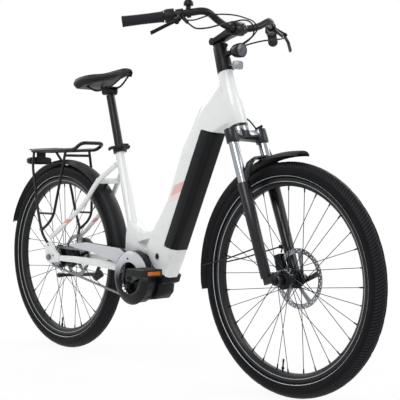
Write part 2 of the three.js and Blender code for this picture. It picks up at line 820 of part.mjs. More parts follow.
// Motor
const motorReach = 100;
const motorOutlineShares = [
  [-0.6, 0.6],
  [-0.7, 0],
  [-0.61, -0.35],
  [-0.35, -0.61],
  [0, -0.72],
  [0.2, -0.78],
  [0.72, -0.7],
  [0.93, -0.48],
  [0.97, -0.2],
  [1.22, -0.12],
  [1.34, 0.14],
  [0.76, 0.42],
  [0.55, 0.76],
  [-0.11, 0.92],
];
const motorEdge = 7;
const motorOutline = outlineFrom(bottomBracket, motorReach, motorOutlineShares);
function motor() {
  const block = solid(sidePlate(motorOutline, -motorBodyRight, motorLeftFace, motorEdge));
  const disc = turned(
    [
      [0, -motorRightFace],
      [motorDiscRadius - motorEdge, -motorRightFace],
      [motorDiscRadius, -motorRightFace + motorEdge],
      [motorDiscRadius, -motorBodyRight + seatGap],
      [0, -motorBodyRight + seatGap],
    ],
    32,
  );
  const bore = boreFor(crankAxleRadius, seatGap, 16);
  const reach = motorLeftFace + overrun;
  return join(block, disc.translate(bottomBracket.x, 0, bottomBracket.z)).subtract(
    solid(bar(vec(0, -reach, 0), vec(0, reach, 0), bore, bore, 16).translate(
      bottomBracket.x,
      0,
      bottomBracket.z,
    )),
  );
}
add(bicycle, 'motor_housing', motor(), finishes.graphite);

// Main frame: a wide shell from the motor to the head tube, with the seat tube and a strut.
const shellSpan = 500;
// Rear edge along and out, front edge along and out, half width.
const shellShares = [
  [-0.19, -0.14, -0.184, 0.115, 0.062],
  [-0.1, -0.174, -0.08, 0.117, 0.072],
  [-0.032, -0.168, 0, 0.117, 0.074],
  [0.076, -0.154, 0.08, 0.117, 0.074],
  [0.156, -0.132, 0.16, 0.117, 0.074],
  [0.28, -0.11, 0.28, 0.117, 0.074],
  [0.436, -0.112, 0.436, 0.117, 0.074],
  [0.66, -0.12, 0.66, 0.117, 0.074],
  [0.79, -0.1, 0.868, 0.118, 0.072],
  [0.942, -0.09, 0.924, 0.17, 0.066],
  [1.032, -0.06, 0.96, 0.21, 0.06],
  [1.17, 0, 0.99, 0.224, 0.05],
];
const cradleReach = 200;
const strutShares = [[0.515, 0, 0.88], [0.265, 0, 0.74], [0.04, 0, 0.715], [-0.235, 0, 0.72]];
const webShares = [
  [-0.35, 0.97],
  [-0.415, 0.7],
  [-0.44, 0.07],
  [-0.325, 0.04],
  [0.2, 0.18],
  [0.465, 0.48],
  [0.33, 0.7],
  [-0.01, 0.7],
];
const webHoleShares = [[-0.06, 0.6], [0.29, 0.69], [0.22, 0.5], [0.04, 0.49]];
const webHalfWidth = 25;
const webEdge = 6;
const batterySlant = 10;
const batteryBackFace = 5;
const tongueLow = 30;
const tongueHigh = 380;
const tongueSwing = 10;
const seatTubeFlareShares = [[0.13, 1.33, 1.6], [0.22, 1.28, 1.5], [0.31, 1.12, 1.25], [0.4, 1, 1]];

// The side outline of the battery, or of its pocket when a gap is given.
function batteryOutline(gap, topGap, reach) {
  const back = batteryBackFace - gap;
  const lift = (out) => (batteryEndRise * (out - batteryBackFace)) / batteryDepth;
  const corner = batterySlant * (1 - Math.sign(gap));
  const front = back + reach;
  const top = batteryLength + topGap;
  const points = [
    [lift(back + corner) - gap, back + corner],
    [lift(front) - gap, front],
    [top + lift(front), front],
    [top + lift(back), back],
  ];
  if (corner > 0) points.push([corner, back]);
  return points.map(([along, out]) => onTube(along, out)).map((place) => [place.x, place.z]);
}

function mainFrame() {
  const rings = shellShares.map(([rearAlong, rearOut, frontAlong, frontOut, halfWidth]) => {
    const rear = onTube(rearAlong * shellSpan, rearOut * shellSpan);
    const front = onTube(frontAlong * shellSpan, frontOut * shellSpan);
    const centre = rear.clone().lerp(front, 0.5);
    const up = front.clone().sub(rear);
    const half = up.length() / 2;
    return ring(centre, sideways, up.normalize(), halfWidth * shellSpan, half, 12, 0.45);
  });
  const headBottom = onSteer(0, -headTubeLength);
  const seatAxis = onSeatTube(1).sub(onSeatTube(0));
  const seatBack = onSeatTube(0, 1).sub(onSeatTube(0));
  const flare = seatTubeFlareShares.map(([up, wide, deep]) => ring(
    onSeatTube(up * seatTubeLength),
    sideways,
    seatBack,
    wide * seatTubeRadius,
    deep * seatTubeRadius,
    16,
  ));
  const strut = spotsFrom(bottomBracket, cradleReach, strutShares);
  const strutRings = strut.map((place, i) => {
    const before = strut[Math.max(i - 1, 0)];
    const after = strut[Math.min(i + 1, strut.length - 1)];
    const ahead = before.clone().sub(after).normalize();
    const up = ahead.clone().cross(sideways);
    return ring(place, sideways, up, strutWidth / 2, strutThickness / 2, 12, 0.6);
  });
  const webHole = sidePlate(
    outlineFrom(bottomBracket, cradleReach, webHoleShares),
    -shellDepth,
    shellDepth,
  );
  const web = solid(sidePlate(
    outlineFrom(bottomBracket, cradleReach, webShares),
    -webHalfWidth,
    webHalfWidth,
    webEdge,
  ));
  const whole = join(
    loft(rings),
    bar(headBottom, headTop, headTubeBottomRadius, headTubeTopRadius, 20),
    bar(onSeatTube(seatTubeLength * 0.13), onSeatTube(seatTubeLength), seatTubeRadius, seatTubeRadius, 16),
    loft(flare),
    loft(strutRings),
    web.subtract(solid(webHole)),
  );
  const headBore = boreFor(steererRadius, runningGap, 20);
  const postBore = boreFor(seatpostRadius, seatGap, 16);
  const channel = [
    [tongueLow - tongueSwing, batteryBackFace - batteryTongueDepth - seatGap * 2],
    [tongueHigh + tongueSwing * 2, batteryBackFace - batteryTongueDepth - seatGap * 2],
    [tongueHigh + tongueSwing * 2, batteryBackFace + overrun],
    [tongueLow - tongueSwing, batteryBackFace + overrun],
  ].map(([along, out]) => onTube(along, out));
  const channelHalf = batteryTongueWidth / 2 + seatGap;
  const motorPocket = sidePlate(grown(motorOutline, seatGap), -shellDepth, shellDepth);
  const discReach = boreFor(motorDiscRadius, seatGap, 32);
  const discPocket = bar(
    vec(0, -shellDepth, 0),
    vec(0, seatGap * 2 - motorBodyRight, 0),
    discReach,
    discReach,
    32,
  );
  const batteryPocket = batteryOutline(seatGap, batteryTopGap, batteryDepth + overrun * 2);
  return whole
    .subtract(solid(motorPocket))
    .subtract(solid(discPocket.translate(bottomBracket.x, 0, bottomBracket.z)))
    .subtract(solid(sidePlate(batteryPocket, -shellDepth, shellDepth)))
    .subtract(solid(sidePlate(channel.map((place) => [place.x, place.z]), -channelHalf, channelHalf)))
    .subtract(solid(bar(
      onSteer(0, -headTubeLength - overrun),
      onSteer(0, overrun),
      headBore,
      headBore,
      20,
    )))
    .subtract(
      solid(
        bar(
          onSeatTube(seatTubeLength - seatpostLength * 0.82),
          onSeatTube(seatTubeLength).addScaledVector(seatAxis, overrun),
          postBore,
          postBore,
          16,
        ),
      ),
    );
}

// An outline moved outwards by a gap.
function grown(points, gap) {
  const turn = Math.sign(THREE.ShapeUtils.area(points.map(([x, z]) => new THREE.Vector2(x, z))));
  const across = ([ax, az], [bx, bz]) => new THREE.Vector2(bz - az, ax - bx);
  const normal = (from, to) => across(from, to).normalize().multiplyScalar(turn);
  return points.map((here, i) => {
    const first = normal(points[(i + points.length - 1) % points.length], here);
    const second = normal(here, points[(i + 1) % points.length]);
    const out = first.clone().add(second).normalize();
    const reach = gap / Math.max(out.dot(first), 0.5);
    return [here[0] + out.x * reach, here[1] + out.y * reach];
  });
}
add(bicycle, 'main_frame', mainFrame(), finishes.pearlWhite);

// Battery, with a tongue that reaches into the frame
function battery() {
  const half = frameWidth / 2;
  const block = solid(sidePlate(batteryOutline(0, 0, batteryDepth), -half, half));
  const tongue = [
    [tongueLow, batteryBackFace - batteryTongueDepth],
    [tongueHigh, batteryBackFace - batteryTongueDepth],
    [tongueHigh, batteryBackFace + overrun],
    [tongueLow, batteryBackFace + overrun],
  ].map(([along, out]) => onTube(along, out));
  const tongueHalf = batteryTongueWidth / 2;
  let whole = block.add(solid(sidePlate(
    tongue.map((place) => [place.x, place.z]),
    -tongueHalf,
    tongueHalf,
  )));
  const front = batteryBackFace + batteryDepth;
  for (const side of [-1, 1]) {
    const wedge = [-overrun, batteryLength + batteryEndRise + overrun].map((along) => [
      onTube(along, front - batteryChamfer, side * (half + seatGap)),
      onTube(along, front + overrun, side * (half + seatGap)),
      onTube(along, front + overrun, side * (half - batteryChamfer - overrun)),
    ]);
    whole = whole.subtract(solid(loft(wedge)));
  }
  return whole;
}
add(bicycle, 'battery_pack', battery(), finishes.glossBlack);

// Charge port cover on the right of the frame's foot
const coverWidth = 14;
const coverHeight = 20;
const coverThickness = 4;
const coverAlong = -46;
const coverOut = -8;
const coverSink = 0.8;
function portCover() {
  const centre = onTube(coverAlong, coverOut);
  const outline = Array.from({ length: 14 }, (_, i) => {
    const turn = (i * 2 * Math.PI) / 14;
    return [centre.x + (coverWidth / 2) * Math.cos(turn), centre.z + (coverHeight / 2) * Math.sin(turn)];
  });
  const inner = coverSink - frameWidth / 2;
  return sidePlate(outline, inner - coverThickness, inner, coverThickness / 4);
}
add(bicycle, 'charge_port_cover', portCover(), finishes.rubber);

// Chain guard: a domed ring round the chainring, a rim over its front and a long arm
const guardDomeShares = [[1, 0], [0.93, 0.5], [0.78, 0.95], [0.65, 1], [0.587, 0.78]];
const guardRimStart = -60;
const guardRimEnd = 100;
const guardRimSteps = 12;
const guardLugTurnShares = [-0.12, 0.08, 0.26];
const guardLugWidth = 14;
const guardArmShares = [
  [-0.1, 0.24],
  [-0.168, 0.276],
  [-0.736, 0.307],
  [-1.03, 0.275],
  [-1.03, 0.255],
  [-0.88, 0.235],
  [-0.65, 0.215],
  [-0.39, 0.165],
  [-0.22, 0.13],
];
const guardArmDepth = 14;
function chainGuard() {
  const outside = guardDomeShares.map(([radius, out]) => [
    radius * guardRadius,
    -guardFace - out * guardDome,
  ]);
  const inside = guardDomeShares.map(([radius, out], i) => {
    const last = i === guardDomeShares.length - 1;
    const shift = i === 0 ? guardWall : 0;
    return [radius * guardRadius - shift, -guardFace - out * guardDome + (i === 0 || last ? 0 : guardWall)];
  });
  const dome = turned([...outside, ...inside.reverse()], 28);
  const arc = [];
  for (const radius of [guardRadius, guardRadius - guardWall]) {
    const row = Array.from({ length: guardRimSteps + 1 }, (_, i) => {
      const turn = (guardRimStart + ((guardRimEnd - guardRimStart) * i) / guardRimSteps) * degrees;
      return [radius * Math.cos(turn), radius * Math.sin(turn)];
    });
    arc.push(...(radius === guardRadius ? row : row.reverse()));
  }
  const rim = sidePlate(arc, -guardFace - guardWall / 2, -guardFace + guardRimDepth);
  const lugs = guardLugTurnShares.map((share) => {
    const turn = share * 2 * Math.PI;
    const lug = new THREE.BoxGeometry(guardLugWidth, guardWall, guardLugWidth);
    const reach = guardRadius - guardLugWidth * 0.45;
    const place = -motorRightFace - seatGap - guardWall / 2;
    return lug.rotateY(-turn).translate(reach * Math.cos(turn), place, reach * Math.sin(turn));
  });
  const disc = join(dome, rim).translate([bottomBracket.x, 0, bottomBracket.z]);
  const outline = outlineFrom(bottomBracket, guardArmLength, guardArmShares);
  const skin = sidePlate(outline, -guardFace - guardWall, -guardFace + guardArmDepth);
  const hollow = sidePlate(grown(outline, -guardWall), -guardFace, -guardFace + guardArmDepth + overrun);
  const reach = guardRadius - guardWall / 2;
  const clear = bar(vec(0, -guardFace - guardDome * 2, 0), vec(0, 0, 0), reach, reach, 32);
  const arm = solid(skin).subtract(solid(hollow)).subtract(solid(clear.translate(
    bottomBracket.x,
    0,
    bottomBracket.z,
  )));
  return disc.add(arm).add(join(lugs).translate([bottomBracket.x, 0, bottomBracket.z]));
}
add(bicycle, 'chain_guard', chainGuard(), finishes.satinBlack);

// Chainstays: a yoke behind the motor, two stays and the dropouts
const stayReach = 400;
const chainstayShares = [
  [-0.255, 0.1, 0.075],
  [-0.5, 0.12, 0.09],
  [-0.843, 0.145, 0.103],
  [-1.1, 0.17, 0.103],
];
const yokeShares = [[-0.281, 0.16], [-0.281, 0.02], [-0.235, 0.02], [-0.235, 0.16]];
const yokeHalfWidth = 48;
const dropoutShares = [
  [0.15, -0.035],
  [0.15, 0.035],
  [0.08, 0.07],
  [0.04, 0.14],
  [-0.05, 0.155],
  [-0.08, 0.1],
  [-0.065, 0],
  [-0.03, -0.05],
  [0.03, -0.05],
];
function chainstays() {
  const yoke = sidePlate(
    outlineFrom(bottomBracket, stayReach, yokeShares),
    -yokeHalfWidth,
    yokeHalfWidth,
    webEdge,
  );
  const pieces = [yoke];
  for (const side of [-1, 1]) {
    const spots = spotsFrom(bottomBracket, stayReach, chainstayShares, side);
    const rings = spots.map((spot, i) => {
      const share = i / (spots.length - 1);
      const high = (chainstayHeight / 2) * (1 - share * 0.35);
      const wide = (chainstayWidth / 2) * (1 - share * 0.5);
      return ring(spot, sideways, vec(0, 0, 1), wide, high, 8, 0.75);
    });
    pieces.push(loft(rings));
    const inner = (side * rearHubWidth) / 2;
    const outer = inner + side * dropoutThickness;
    const plate = outlineFrom(rearAxle, stayReach, dropoutShares);
    pieces.push(sidePlate(plate, Math.min(inner, outer), Math.max(inner, outer)));
  }
  const bore = boreFor(rearAxleRadius, seatGap, 12);
  const reach = rearHubWidth;
  const hole = bar(vec(0, -reach, 0), vec(0, reach, 0), bore, bore, 12).translate(
    rearAxle.x,
    0,
    rearAxle.z,
  );
  return join(pieces).subtract(solid(hole));
}
add(bicycle, 'chainstays', chainstays(), finishes.pearlWhite);

// Seatstays from behind the seat tube down to the dropouts, with a bridge
const seatstayShares = [
  [-0.36, 0.045, 0.965],
  [-0.535, 0.12, 0.82],
  [-0.7, 0.138, 0.612],
  [-1.105, 0.166, 0.343],
  [-1.21, 0.17, 0.285],
];
function seatstays() {
  const left = rounded(spotsFrom(bottomBracket, stayReach, seatstayShares), chainstayHeight * 2, 2);
  const right = rounded(spotsFrom(bottomBracket, stayReach, seatstayShares, -1), chainstayHeight * 2, 2);
  const [, bend] = spotsFrom(bottomBracket, stayReach, seatstayShares);
  const bridge = bar(vec(bend.x, -bend.y, bend.z), bend, seatstayRadius * 1.1, seatstayRadius * 1.1, 10);
  const head = bar(left[0], vec(left[0].x, -left[0].y, left[0].z), seatstayRadius, seatstayRadius, 10);
  const clear = seatTubeRadius + seatGap;
  const tube = bar(onSeatTube(seatTubeLength * 0.5), onSeatTube(seatTubeLength), clear, clear, 16);
  const reach = rearHubWidth / 2 + dropoutThickness + seatGap;
  const slot = sidePlate(grown(outlineFrom(rearAxle, stayReach, dropoutShares), seatGap), -reach, reach);
  return join(bentBar(left, seatstayRadius, 6), bentBar(right, seatstayRadius, 6), bridge, head)
    .subtract(solid(tube))
    .subtract(solid(slot));
}
add(bicycle, 'seatstays', seatstays(), finishes.pearlWhite);

// Mudguards: a thin channel round part of each tyre, with stays
function mudguard(centre, from, to, steps, radiusShare = 1) {
  const half = mudguardWidth / 2;
  const shoulder = half * 0.5;
  const section = [
    [-half, mudguardSag],
    [-half, mudguardSag - mudguardWall * 2],
    [-shoulder, mudguardWall * 0.6],
    [shoulder, mudguardWall * 0.6],
    [half, mudguardSag - mudguardWall * 2],
    [half, mudguardSag],
    [half - mudguardWall, mudguardSag],
    [half - mudguardWall, mudguardSag - mudguardWall],
    [shoulder - mudguardWall / 2, mudguardWall * 1.6],
    [-shoulder + mudguardWall / 2, mudguardWall * 1.6],
    [-half + mudguardWall, mudguardSag - mudguardWall],
    [-half + mudguardWall, mudguardSag],
  ];
  const path = Array.from({ length: steps + 1 }, (_, i) => {
    const turn = (from + ((to - from) * i) / steps) * degrees;
    const radius = mudguardRadius * radiusShare;
    return vec(centre.x + radius * Math.cos(turn), 0, centre.z + radius * Math.sin(turn));
  });
  return new THREE.ExtrudeGeometry(new THREE.Shape(section.map(([x, y]) => new THREE.Vector2(x, y))), {
    steps,
    bevelEnabled: false,
    extrudePath: new BentPath(path),
  });
}
const rearGuardTip = 161.1;
const rearGuardEnd = 7.3;
const rearGuardSteps = 13;
const guardMountRadius = 5;
function rearMudguard() {
  const arc = mudguard(rearAxle, rearGuardTip, rearGuardEnd, rearGuardSteps);
  const [, bend] = spotsFrom(bottomBracket, stayReach, seatstayShares);
  const toBridge = vec(bend.x, 0, bend.z).sub(rearAxle);
  const turn = toBridge.clone().normalize();
  const from = rearAxle.clone().addScaledVector(turn, mudguardRadius - mudguardWall * 1.5);
  const to = rearAxle.clone().addScaledVector(turn, toBridge.length() - seatstayRadius * 1.1 - seatGap);
  return join(arc, bar(from, to, guardMountRadius, guardMountRadius, 8));
}
add(bicycle, 'rear_mudguard', rearMudguard(), finishes.satinBlack);

// Rear rack: two rails with a raised hoop in front, a bend behind, a deck plate and struts
const rackReach = 200;
const rearStrutShares = [
  [-0.7, 0.25, 2],
  [-0.56, 0.375, 1.71],
  [-0.41, 0.41, 1.28],
  [-0.3, 0.425, 0.845],
  [-0.17, 0.44, 0.52],
  [-0.16, 0.4, 0.39],
  [-0.05, 0.39, 0.24],
];
const frontStrutShares = [
  [0.39, 0.265, 2],
  [0.37, 0.335, 1.62],
  [0.3, 0.39, 1.17],
  [0.23, 0.43, 0.795],
  [0.09, 0.44, 0.645],
  [-0.15, 0.44, 0.505],
];
const railShares = [
  [0.86, 0.25, 2.12],
  [0.65, 0.25, 2.005],
  [-0.82, 0.25, 2.005],
  [-0.9, 0, 2.005],
];
const lampBracketShares = [[-0.8485, 1.79], [-0.832, 1.79], [-0.832, 2.01], [-0.8485, 2.01]];
const lampBracketHalf = 20;
const deckShares = [[-0.88, 2.02], [0, 2.02], [0, 2.05], [-0.88, 2.05]];
const strutBridgeShares = [[-0.295, 0.425, 0.82], [0.23, 0.43, 0.82]];
const crossBarShares = [[0.38, 0.27, 1.9]];
function rearRack() {
  const pieces = [];
  const spots = (shares, side) => spotsFrom(rearAxle, rackReach, shares, side);
  const bend = rackHalfWidth * 0.6;
  const rails = [...spots(railShares, 1).slice(0, 3), ...spots(railShares, -1).slice(0, 3).reverse()];
  pieces.push(bentBar(rounded(rails, bend, 2), rackTubeRadius, 6));
  const [hoopLeft] = spots(railShares, 1);
  pieces.push(bar(
    hoopLeft.clone().setY(-hoopLeft.y - rackTubeRadius / 2),
    hoopLeft.clone().setY(hoopLeft.y + rackTubeRadius / 2),
    rackTubeRadius,
    rackTubeRadius,
    6,
  ));
  for (const side of [-1, 1]) {
    pieces.push(bentBar(rounded(spots(rearStrutShares, side), bend, 1), rackStrutRadius, 5));
    pieces.push(bentBar(rounded(spots(frontStrutShares, side), bend, 1), rackStrutRadius, 5));
    const [behind, ahead] = spots(strutBridgeShares, side);
    pieces.push(bar(behind, ahead, rackStrutRadius * 0.8, rackStrutRadius * 0.8, 5));
  }
  const [cross] = spots(crossBarShares, 1);
  pieces.push(bar(cross.clone().setY(-cross.y), cross, rackStrutRadius, rackStrutRadius, 5));
  pieces.push(sidePlate(outlineFrom(rearAxle, rackReach, deckShares), -rackHalfWidth, rackHalfWidth));
  const lampPlate = outlineFrom(rearAxle, rackReach, lampBracketShares);
  pieces.push(sidePlate(lampPlate, -lampBracketHalf, lampBracketHalf));
  const reach = rearHubWidth / 2 + dropoutThickness + seatGap;
  const clear = new THREE.BoxGeometry(rackReach, reach * 2, rackReach * 0.6);
  const [foot] = spots(rearStrutShares.slice(-1), 1);
  return join(pieces).subtract(solid(clear.translate(foot.x, 0, foot.z)));
}
add(bicycle, 'rear_rack', rearRack(), finishes.satinBlack);

// Tail lamp under the rear of the rack: a housing with a lens behind it
const lampWidth = 100;
const lampHeight = 29;
const lampDepth = 31;
const lampBehind = 201;
const lampRise = 364;
const lensDepth = 9;
function lampBlock(from, to, share) {
  const rings = [from, to].map((behind) =>
    ring(
      vec(rearAxle.x - behind, 0, rearAxle.z + lampRise),
      sideways,
      vec(0, 0, 1),
      (lampWidth / 2) * share,
      (lampHeight / 2) * share,
      16,
      0.5,
    ));
  return loft(rings);
}
add(
  bicycle,
  'tail_light_housing',
  lampBlock(lampBehind - lampDepth, lampBehind - lensDepth, 1),
  finishes.satinBlack,
);
const lensShare = 0.92;
add(
  bicycle,
  'tail_light_lens',
  lampBlock(lampBehind - lensDepth + seatGap, lampBehind, lensShare),
  finishes.redLens,
);

// Seat clamp: a collar with two lugs, and a lever on a cross pin
const collarRadius = 24;
const collarHeight = 24;
const collarLip = 4;
const lugReach = 40;
const lugWidth = 11;
const slotWidth = 2;
const leverPinRadius = 3;
function seatCollar() {
  const top = seatTubeLength + collarLip;
  const low = top - collarHeight;
  const body = solid(bar(onSeatTube(low), onSeatTube(top), collarRadius, collarRadius, 20));
  const ahead = onSeatTube((low + top) / 2, -lugReach / 2);
  const lugs = new THREE.BoxGeometry(lugReach, lugWidth * 2, collarHeight * 0.8);
  lugs.rotateY(-Math.PI / 2 + seatLean).translate(ahead.x, 0, ahead.z);
  const tube = boreFor(seatTubeRadius, seatGap, 20);
  const post = boreFor(seatpostRadius, seatGap, 20);
  const slot = new THREE.BoxGeometry(lugReach, slotWidth, collarHeight * 2);
  const slotPlace = onSeatTube((low + top) / 2, -lugReach / 2 - seatpostRadius);
  slot.rotateY(-Math.PI / 2 + seatLean).translate(slotPlace.x, 0, slotPlace.z);
  const pin = onSeatTube((low + top) / 2, -lugReach + leverPinRadius * 2);
  const hole = boreFor(leverPinRadius, seatGap, 8);
  const reach = lugWidth + overrun;
  return body
    .add(solid(lugs))
    .subtract(solid(bar(onSeatTube(low - overrun), onSeatTube(seatTubeLength + seatGap), tube, tube, 20)))
    .subtract(solid(bar(onSeatTube(low), onSeatTube(top + overrun), post, post, 20)))
    .subtract(solid(slot))
    .subtract(solid(bar(vec(pin.x, -reach, pin.z), vec(pin.x, reach, pin.z), hole, hole, 8)));
}
add(bicycle, 'seat_clamp_collar', seatCollar(), finishes.satinBlack);

const leverShares = [[0, 1, 0], [0.3, 1.55, 0.03], [0.75, 1.8, 0.05], [1, 1.7, 0.02]];
const leverLength = 58;
const leverHalfWidth = 4;
const leverHalfHeight = 6;
function seatLever() {
  const middle = seatTubeLength + collarLip - collarHeight / 2;
  const pin = onSeatTube(middle, -lugReach + leverPinRadius * 2);
  const back = vec(-1, 0, -0.18).normalize();
  const up = sideways.clone().cross(back);
  const rings = leverShares.map(([along, out, rise]) => {
    const side = -out * (lugWidth + leverHalfHeight);
    const spot = pin.clone().addScaledVector(back, along * leverLength).setY(side);
    spot.z += rise * leverLength;
    return ring(spot, sideways, up, leverHalfWidth, leverHalfHeight, 8, 0.7);
  });
  const end = lugWidth + leverHalfHeight;
  const nut = bar(
    vec(pin.x, lugWidth + seatGap, pin.z),
    vec(pin.x, end, pin.z),
    leverHalfHeight,
    leverHalfHeight,
    10,
  );
  const cam = bar(
    vec(pin.x, -lugWidth - seatGap, pin.z),
    vec(pin.x, -end - seatGap, pin.z),
    leverHalfHeight * 1.3,
    leverHalfHeight * 1.3,
    10,
  );
  return join(
    bar(vec(pin.x, -end, pin.z), vec(pin.x, end, pin.z), leverPinRadius, leverPinRadius, 8),
    nut,
    cam,
    loft(rings),
  );
}
add(bicycle, 'seat_clamp_lever', seatLever(), finishes.satinBlack);

// Seatpost and saddle
const postTop = seatTubeLength + seatpostExposed;
const post = bar(
  onSeatTube(postTop - seatpostLength),
  onSeatTube(postTop),
  seatpostRadius,
  seatpostRadius,
  16,
);
add(bicycle, 'seatpost', post, finishes.satinBlack);
const railRadius = 3.5;
const clampLength = 40;
const clampHeight = 30;
const clampHalfWidth = 29;
const saddleTilt = 9 * degrees;
const clampTurn = Math.PI / 2 - seatLean - saddleTilt;
const clampRise = clampHeight / 2 / Math.cos(clampTurn) + seatpostRadius * Math.tan(clampTurn) + seatGap;
const clampCentre = onSeatTube(postTop + clampRise);
const saddleReach = 255;
// Ahead of the clamp, to the left and up, on a saddle whose nose is raised.
const onSaddle = (ahead, side, up) =>
  vec(
    clampCentre.x + ahead * Math.cos(saddleTilt) - up * Math.sin(saddleTilt),
    side,
    clampCentre.z + ahead * Math.sin(saddleTilt) + up * Math.cos(saddleTilt),
  );
const saddleSpot = ([ahead, side, up]) => onSaddle(
  ahead * saddleReach,
  side * saddleReach,
  up * saddleReach,
);
const saddleRailShares = [
  [-0.36, 0.13, 0.15],
  [-0.2, 0.08, 0.03],
  [0.16, 0.08, 0.03],
  [0.4, 0.045, 0.13],
];
function saddleClamp() {
  const block = new THREE.BoxGeometry(clampLength, clampHalfWidth * 2, clampHeight);
  block.rotateY(-saddleTilt).translate(clampCentre.x, 0, clampCentre.z);
  const [, railSide, railRise] = saddleRailShares[1].map((share) => share * saddleReach);
  const pieces = [-railSide, railSide].map((side) => {
    const bore = boreFor(railRadius, seatGap, 8);
    const reach = clampLength / 2 + overrun;
    return bar(onSaddle(-reach, side, railRise), onSaddle(reach, side, railRise), bore, bore, 8);
  });
  return pieces.reduce((whole, cut) => whole.subtract(solid(cut)), solid(block));
}
add(bicycle, 'saddle_clamp', saddleClamp(), finishes.satinBlack);

// Along from the clamp, half width, top height, all as shares of the saddle's reach
const padShares = [
  [-0.515, 0.13, 0.245],
  [-0.5, 0.235, 0.27],
  [-0.44, 0.285, 0.29],
  [-0.32, 0.285, 0.297],
  [-0.18, 0.235, 0.285],
  [-0.05, 0.155, 0.262],
  [0.12, 0.095, 0.24],
  [0.3, 0.075, 0.225],
  [0.44, 0.062, 0.21],
  [0.48, 0.035, 0.195],
];
const padFloorShare = 0.135;
const baseThickness = 7;
function saddlePad() {
  const floor = padFloorShare * saddleReach + baseThickness + seatGap;
  const rings = padShares.map(([along, wide, high]) => {
    const top = high * saddleReach;
    const half = wide * saddleReach;
    return Array.from({ length: 16 }, (_, i) => {
      const turn = ((i + 0.5) * 2 * Math.PI) / 16;
      const rise = Math.max(Math.sin(turn), -0.35);
      const middle = floor + (top - floor) * 0.35;
      const reach = rise > 0 ? top - middle : (middle - floor) / 0.35;
      const across = Math.sign(Math.cos(turn)) * Math.abs(Math.cos(turn)) ** 0.7;
      const up = middle + reach * Math.sign(rise) * Math.abs(rise) ** (rise > 0 ? 0.8 : 1);
      return onSaddle(along * saddleReach, half * across * (rise < 0 ? 0.96 : 1), up);
    });
  });
  return loft(rings);
}
add(bicycle, 'saddle_pad', saddlePad(), finishes.saddleCover);
function saddleBase() {
  const floor = padFloorShare * saddleReach;
  const outline = [];
  for (const side of [1, -1]) {
    const row = padShares.map(([along, wide]) => [
      along * saddleReach * 0.98,
      side * wide * saddleReach * 0.9,
    ]);
    outline.push(...(side > 0 ? row : row.reverse()));
  }
  const shape = new THREE.Shape(outline.map(([x, y]) => new THREE.Vector2(x, y)));
  const plate = new THREE.ExtrudeGeometry(shape, { depth: baseThickness, bevelEnabled: false });
  const pieces = [plate.translate(0, 0, floor).rotateY(-saddleTilt).translate(
    clampCentre.x,
    0,
    clampCentre.z,
  )];
  for (const side of [-1, 1]) {
    const spots = saddleRailShares.map(([ahead, out, up]) => saddleSpot([ahead, side * out, up]));
    pieces.push(bentBar(rounded(spots, clampLength / 2, 2), railRadius, 6));
  }
  return join(pieces);
}
add(bicycle, 'saddle_base', saddleBase(), finishes.satinBlack);

// Kickstand: a bracket under the left chainstay, and a leg on a slanting pivot
const standSide = 84;
const standDrop = 32;
const standFootBehind = 294;
const standFootOut = 25;
const standFootDrop = 22;
const standPivot = vec(bottomBracket.x - chainstayRun * 0.82, standSide, bottomBracket.z - standDrop);
const standAxis = vec(0, 0.897, 0.4426);
const standFoot = vec(-standFootBehind, standFootOut, -standFootDrop);
const standPivotRadius = 16;
const standBossLength = 14;
const standLegRadius = 8;
const standFootRadius = 11;
const standFootLength = 30;
const standArmRadius = 7;
const standClampRise = 52.5;
function standBracket() {
  const inner = standPivot.clone().addScaledVector(standAxis, -standBossLength - seatGap);
  const outer = standPivot.clone().addScaledVector(standAxis, -seatGap);
  const boss = bar(inner, outer, standPivotRadius, standPivotRadius, 16);
  const anchor = vec(
    standPivot.x + standPivotRadius * 3,
    standPivot.y * 0.76,
    standPivot.z + standClampRise,
  );
  const arm = bar(inner.clone().lerp(outer, 0.2), anchor, standArmRadius, standArmRadius, 8);
  const clamp = new THREE.BoxGeometry(
    standPivotRadius * 3,
    standPivotRadius * 1.6,
    standPivotRadius,
  ).translate(
    anchor.x,
    standPivot.y * 0.72,
    anchor.z,
  );
  return join(boss, arm, clamp);
}
add(bicycle, 'kickstand_bracket', standBracket(), finishes.satinBlack);
function standLeg() {
  const root = standPivot.clone().addScaledVector(standAxis, standBossLength * 1.3);
  const middle = standPivot.clone().addScaledVector(standAxis, standBossLength * 0.75);
  const foot = standPivot.clone().add(standFoot);
  const along = foot.clone().sub(middle).normalize();
  const ankle = foot.clone().addScaledVector(along, -standFootLength);
  return join(
    bar(standPivot, root, standPivotRadius, standPivotRadius, 16),
    bar(middle, foot, standLegRadius, standLegRadius * 0.8, 8),
    bar(ankle, foot, standLegRadius, standFootRadius, 10),
  );
}
add(bicycle, 'kickstand_leg', standLeg(), finishes.satinBlack);

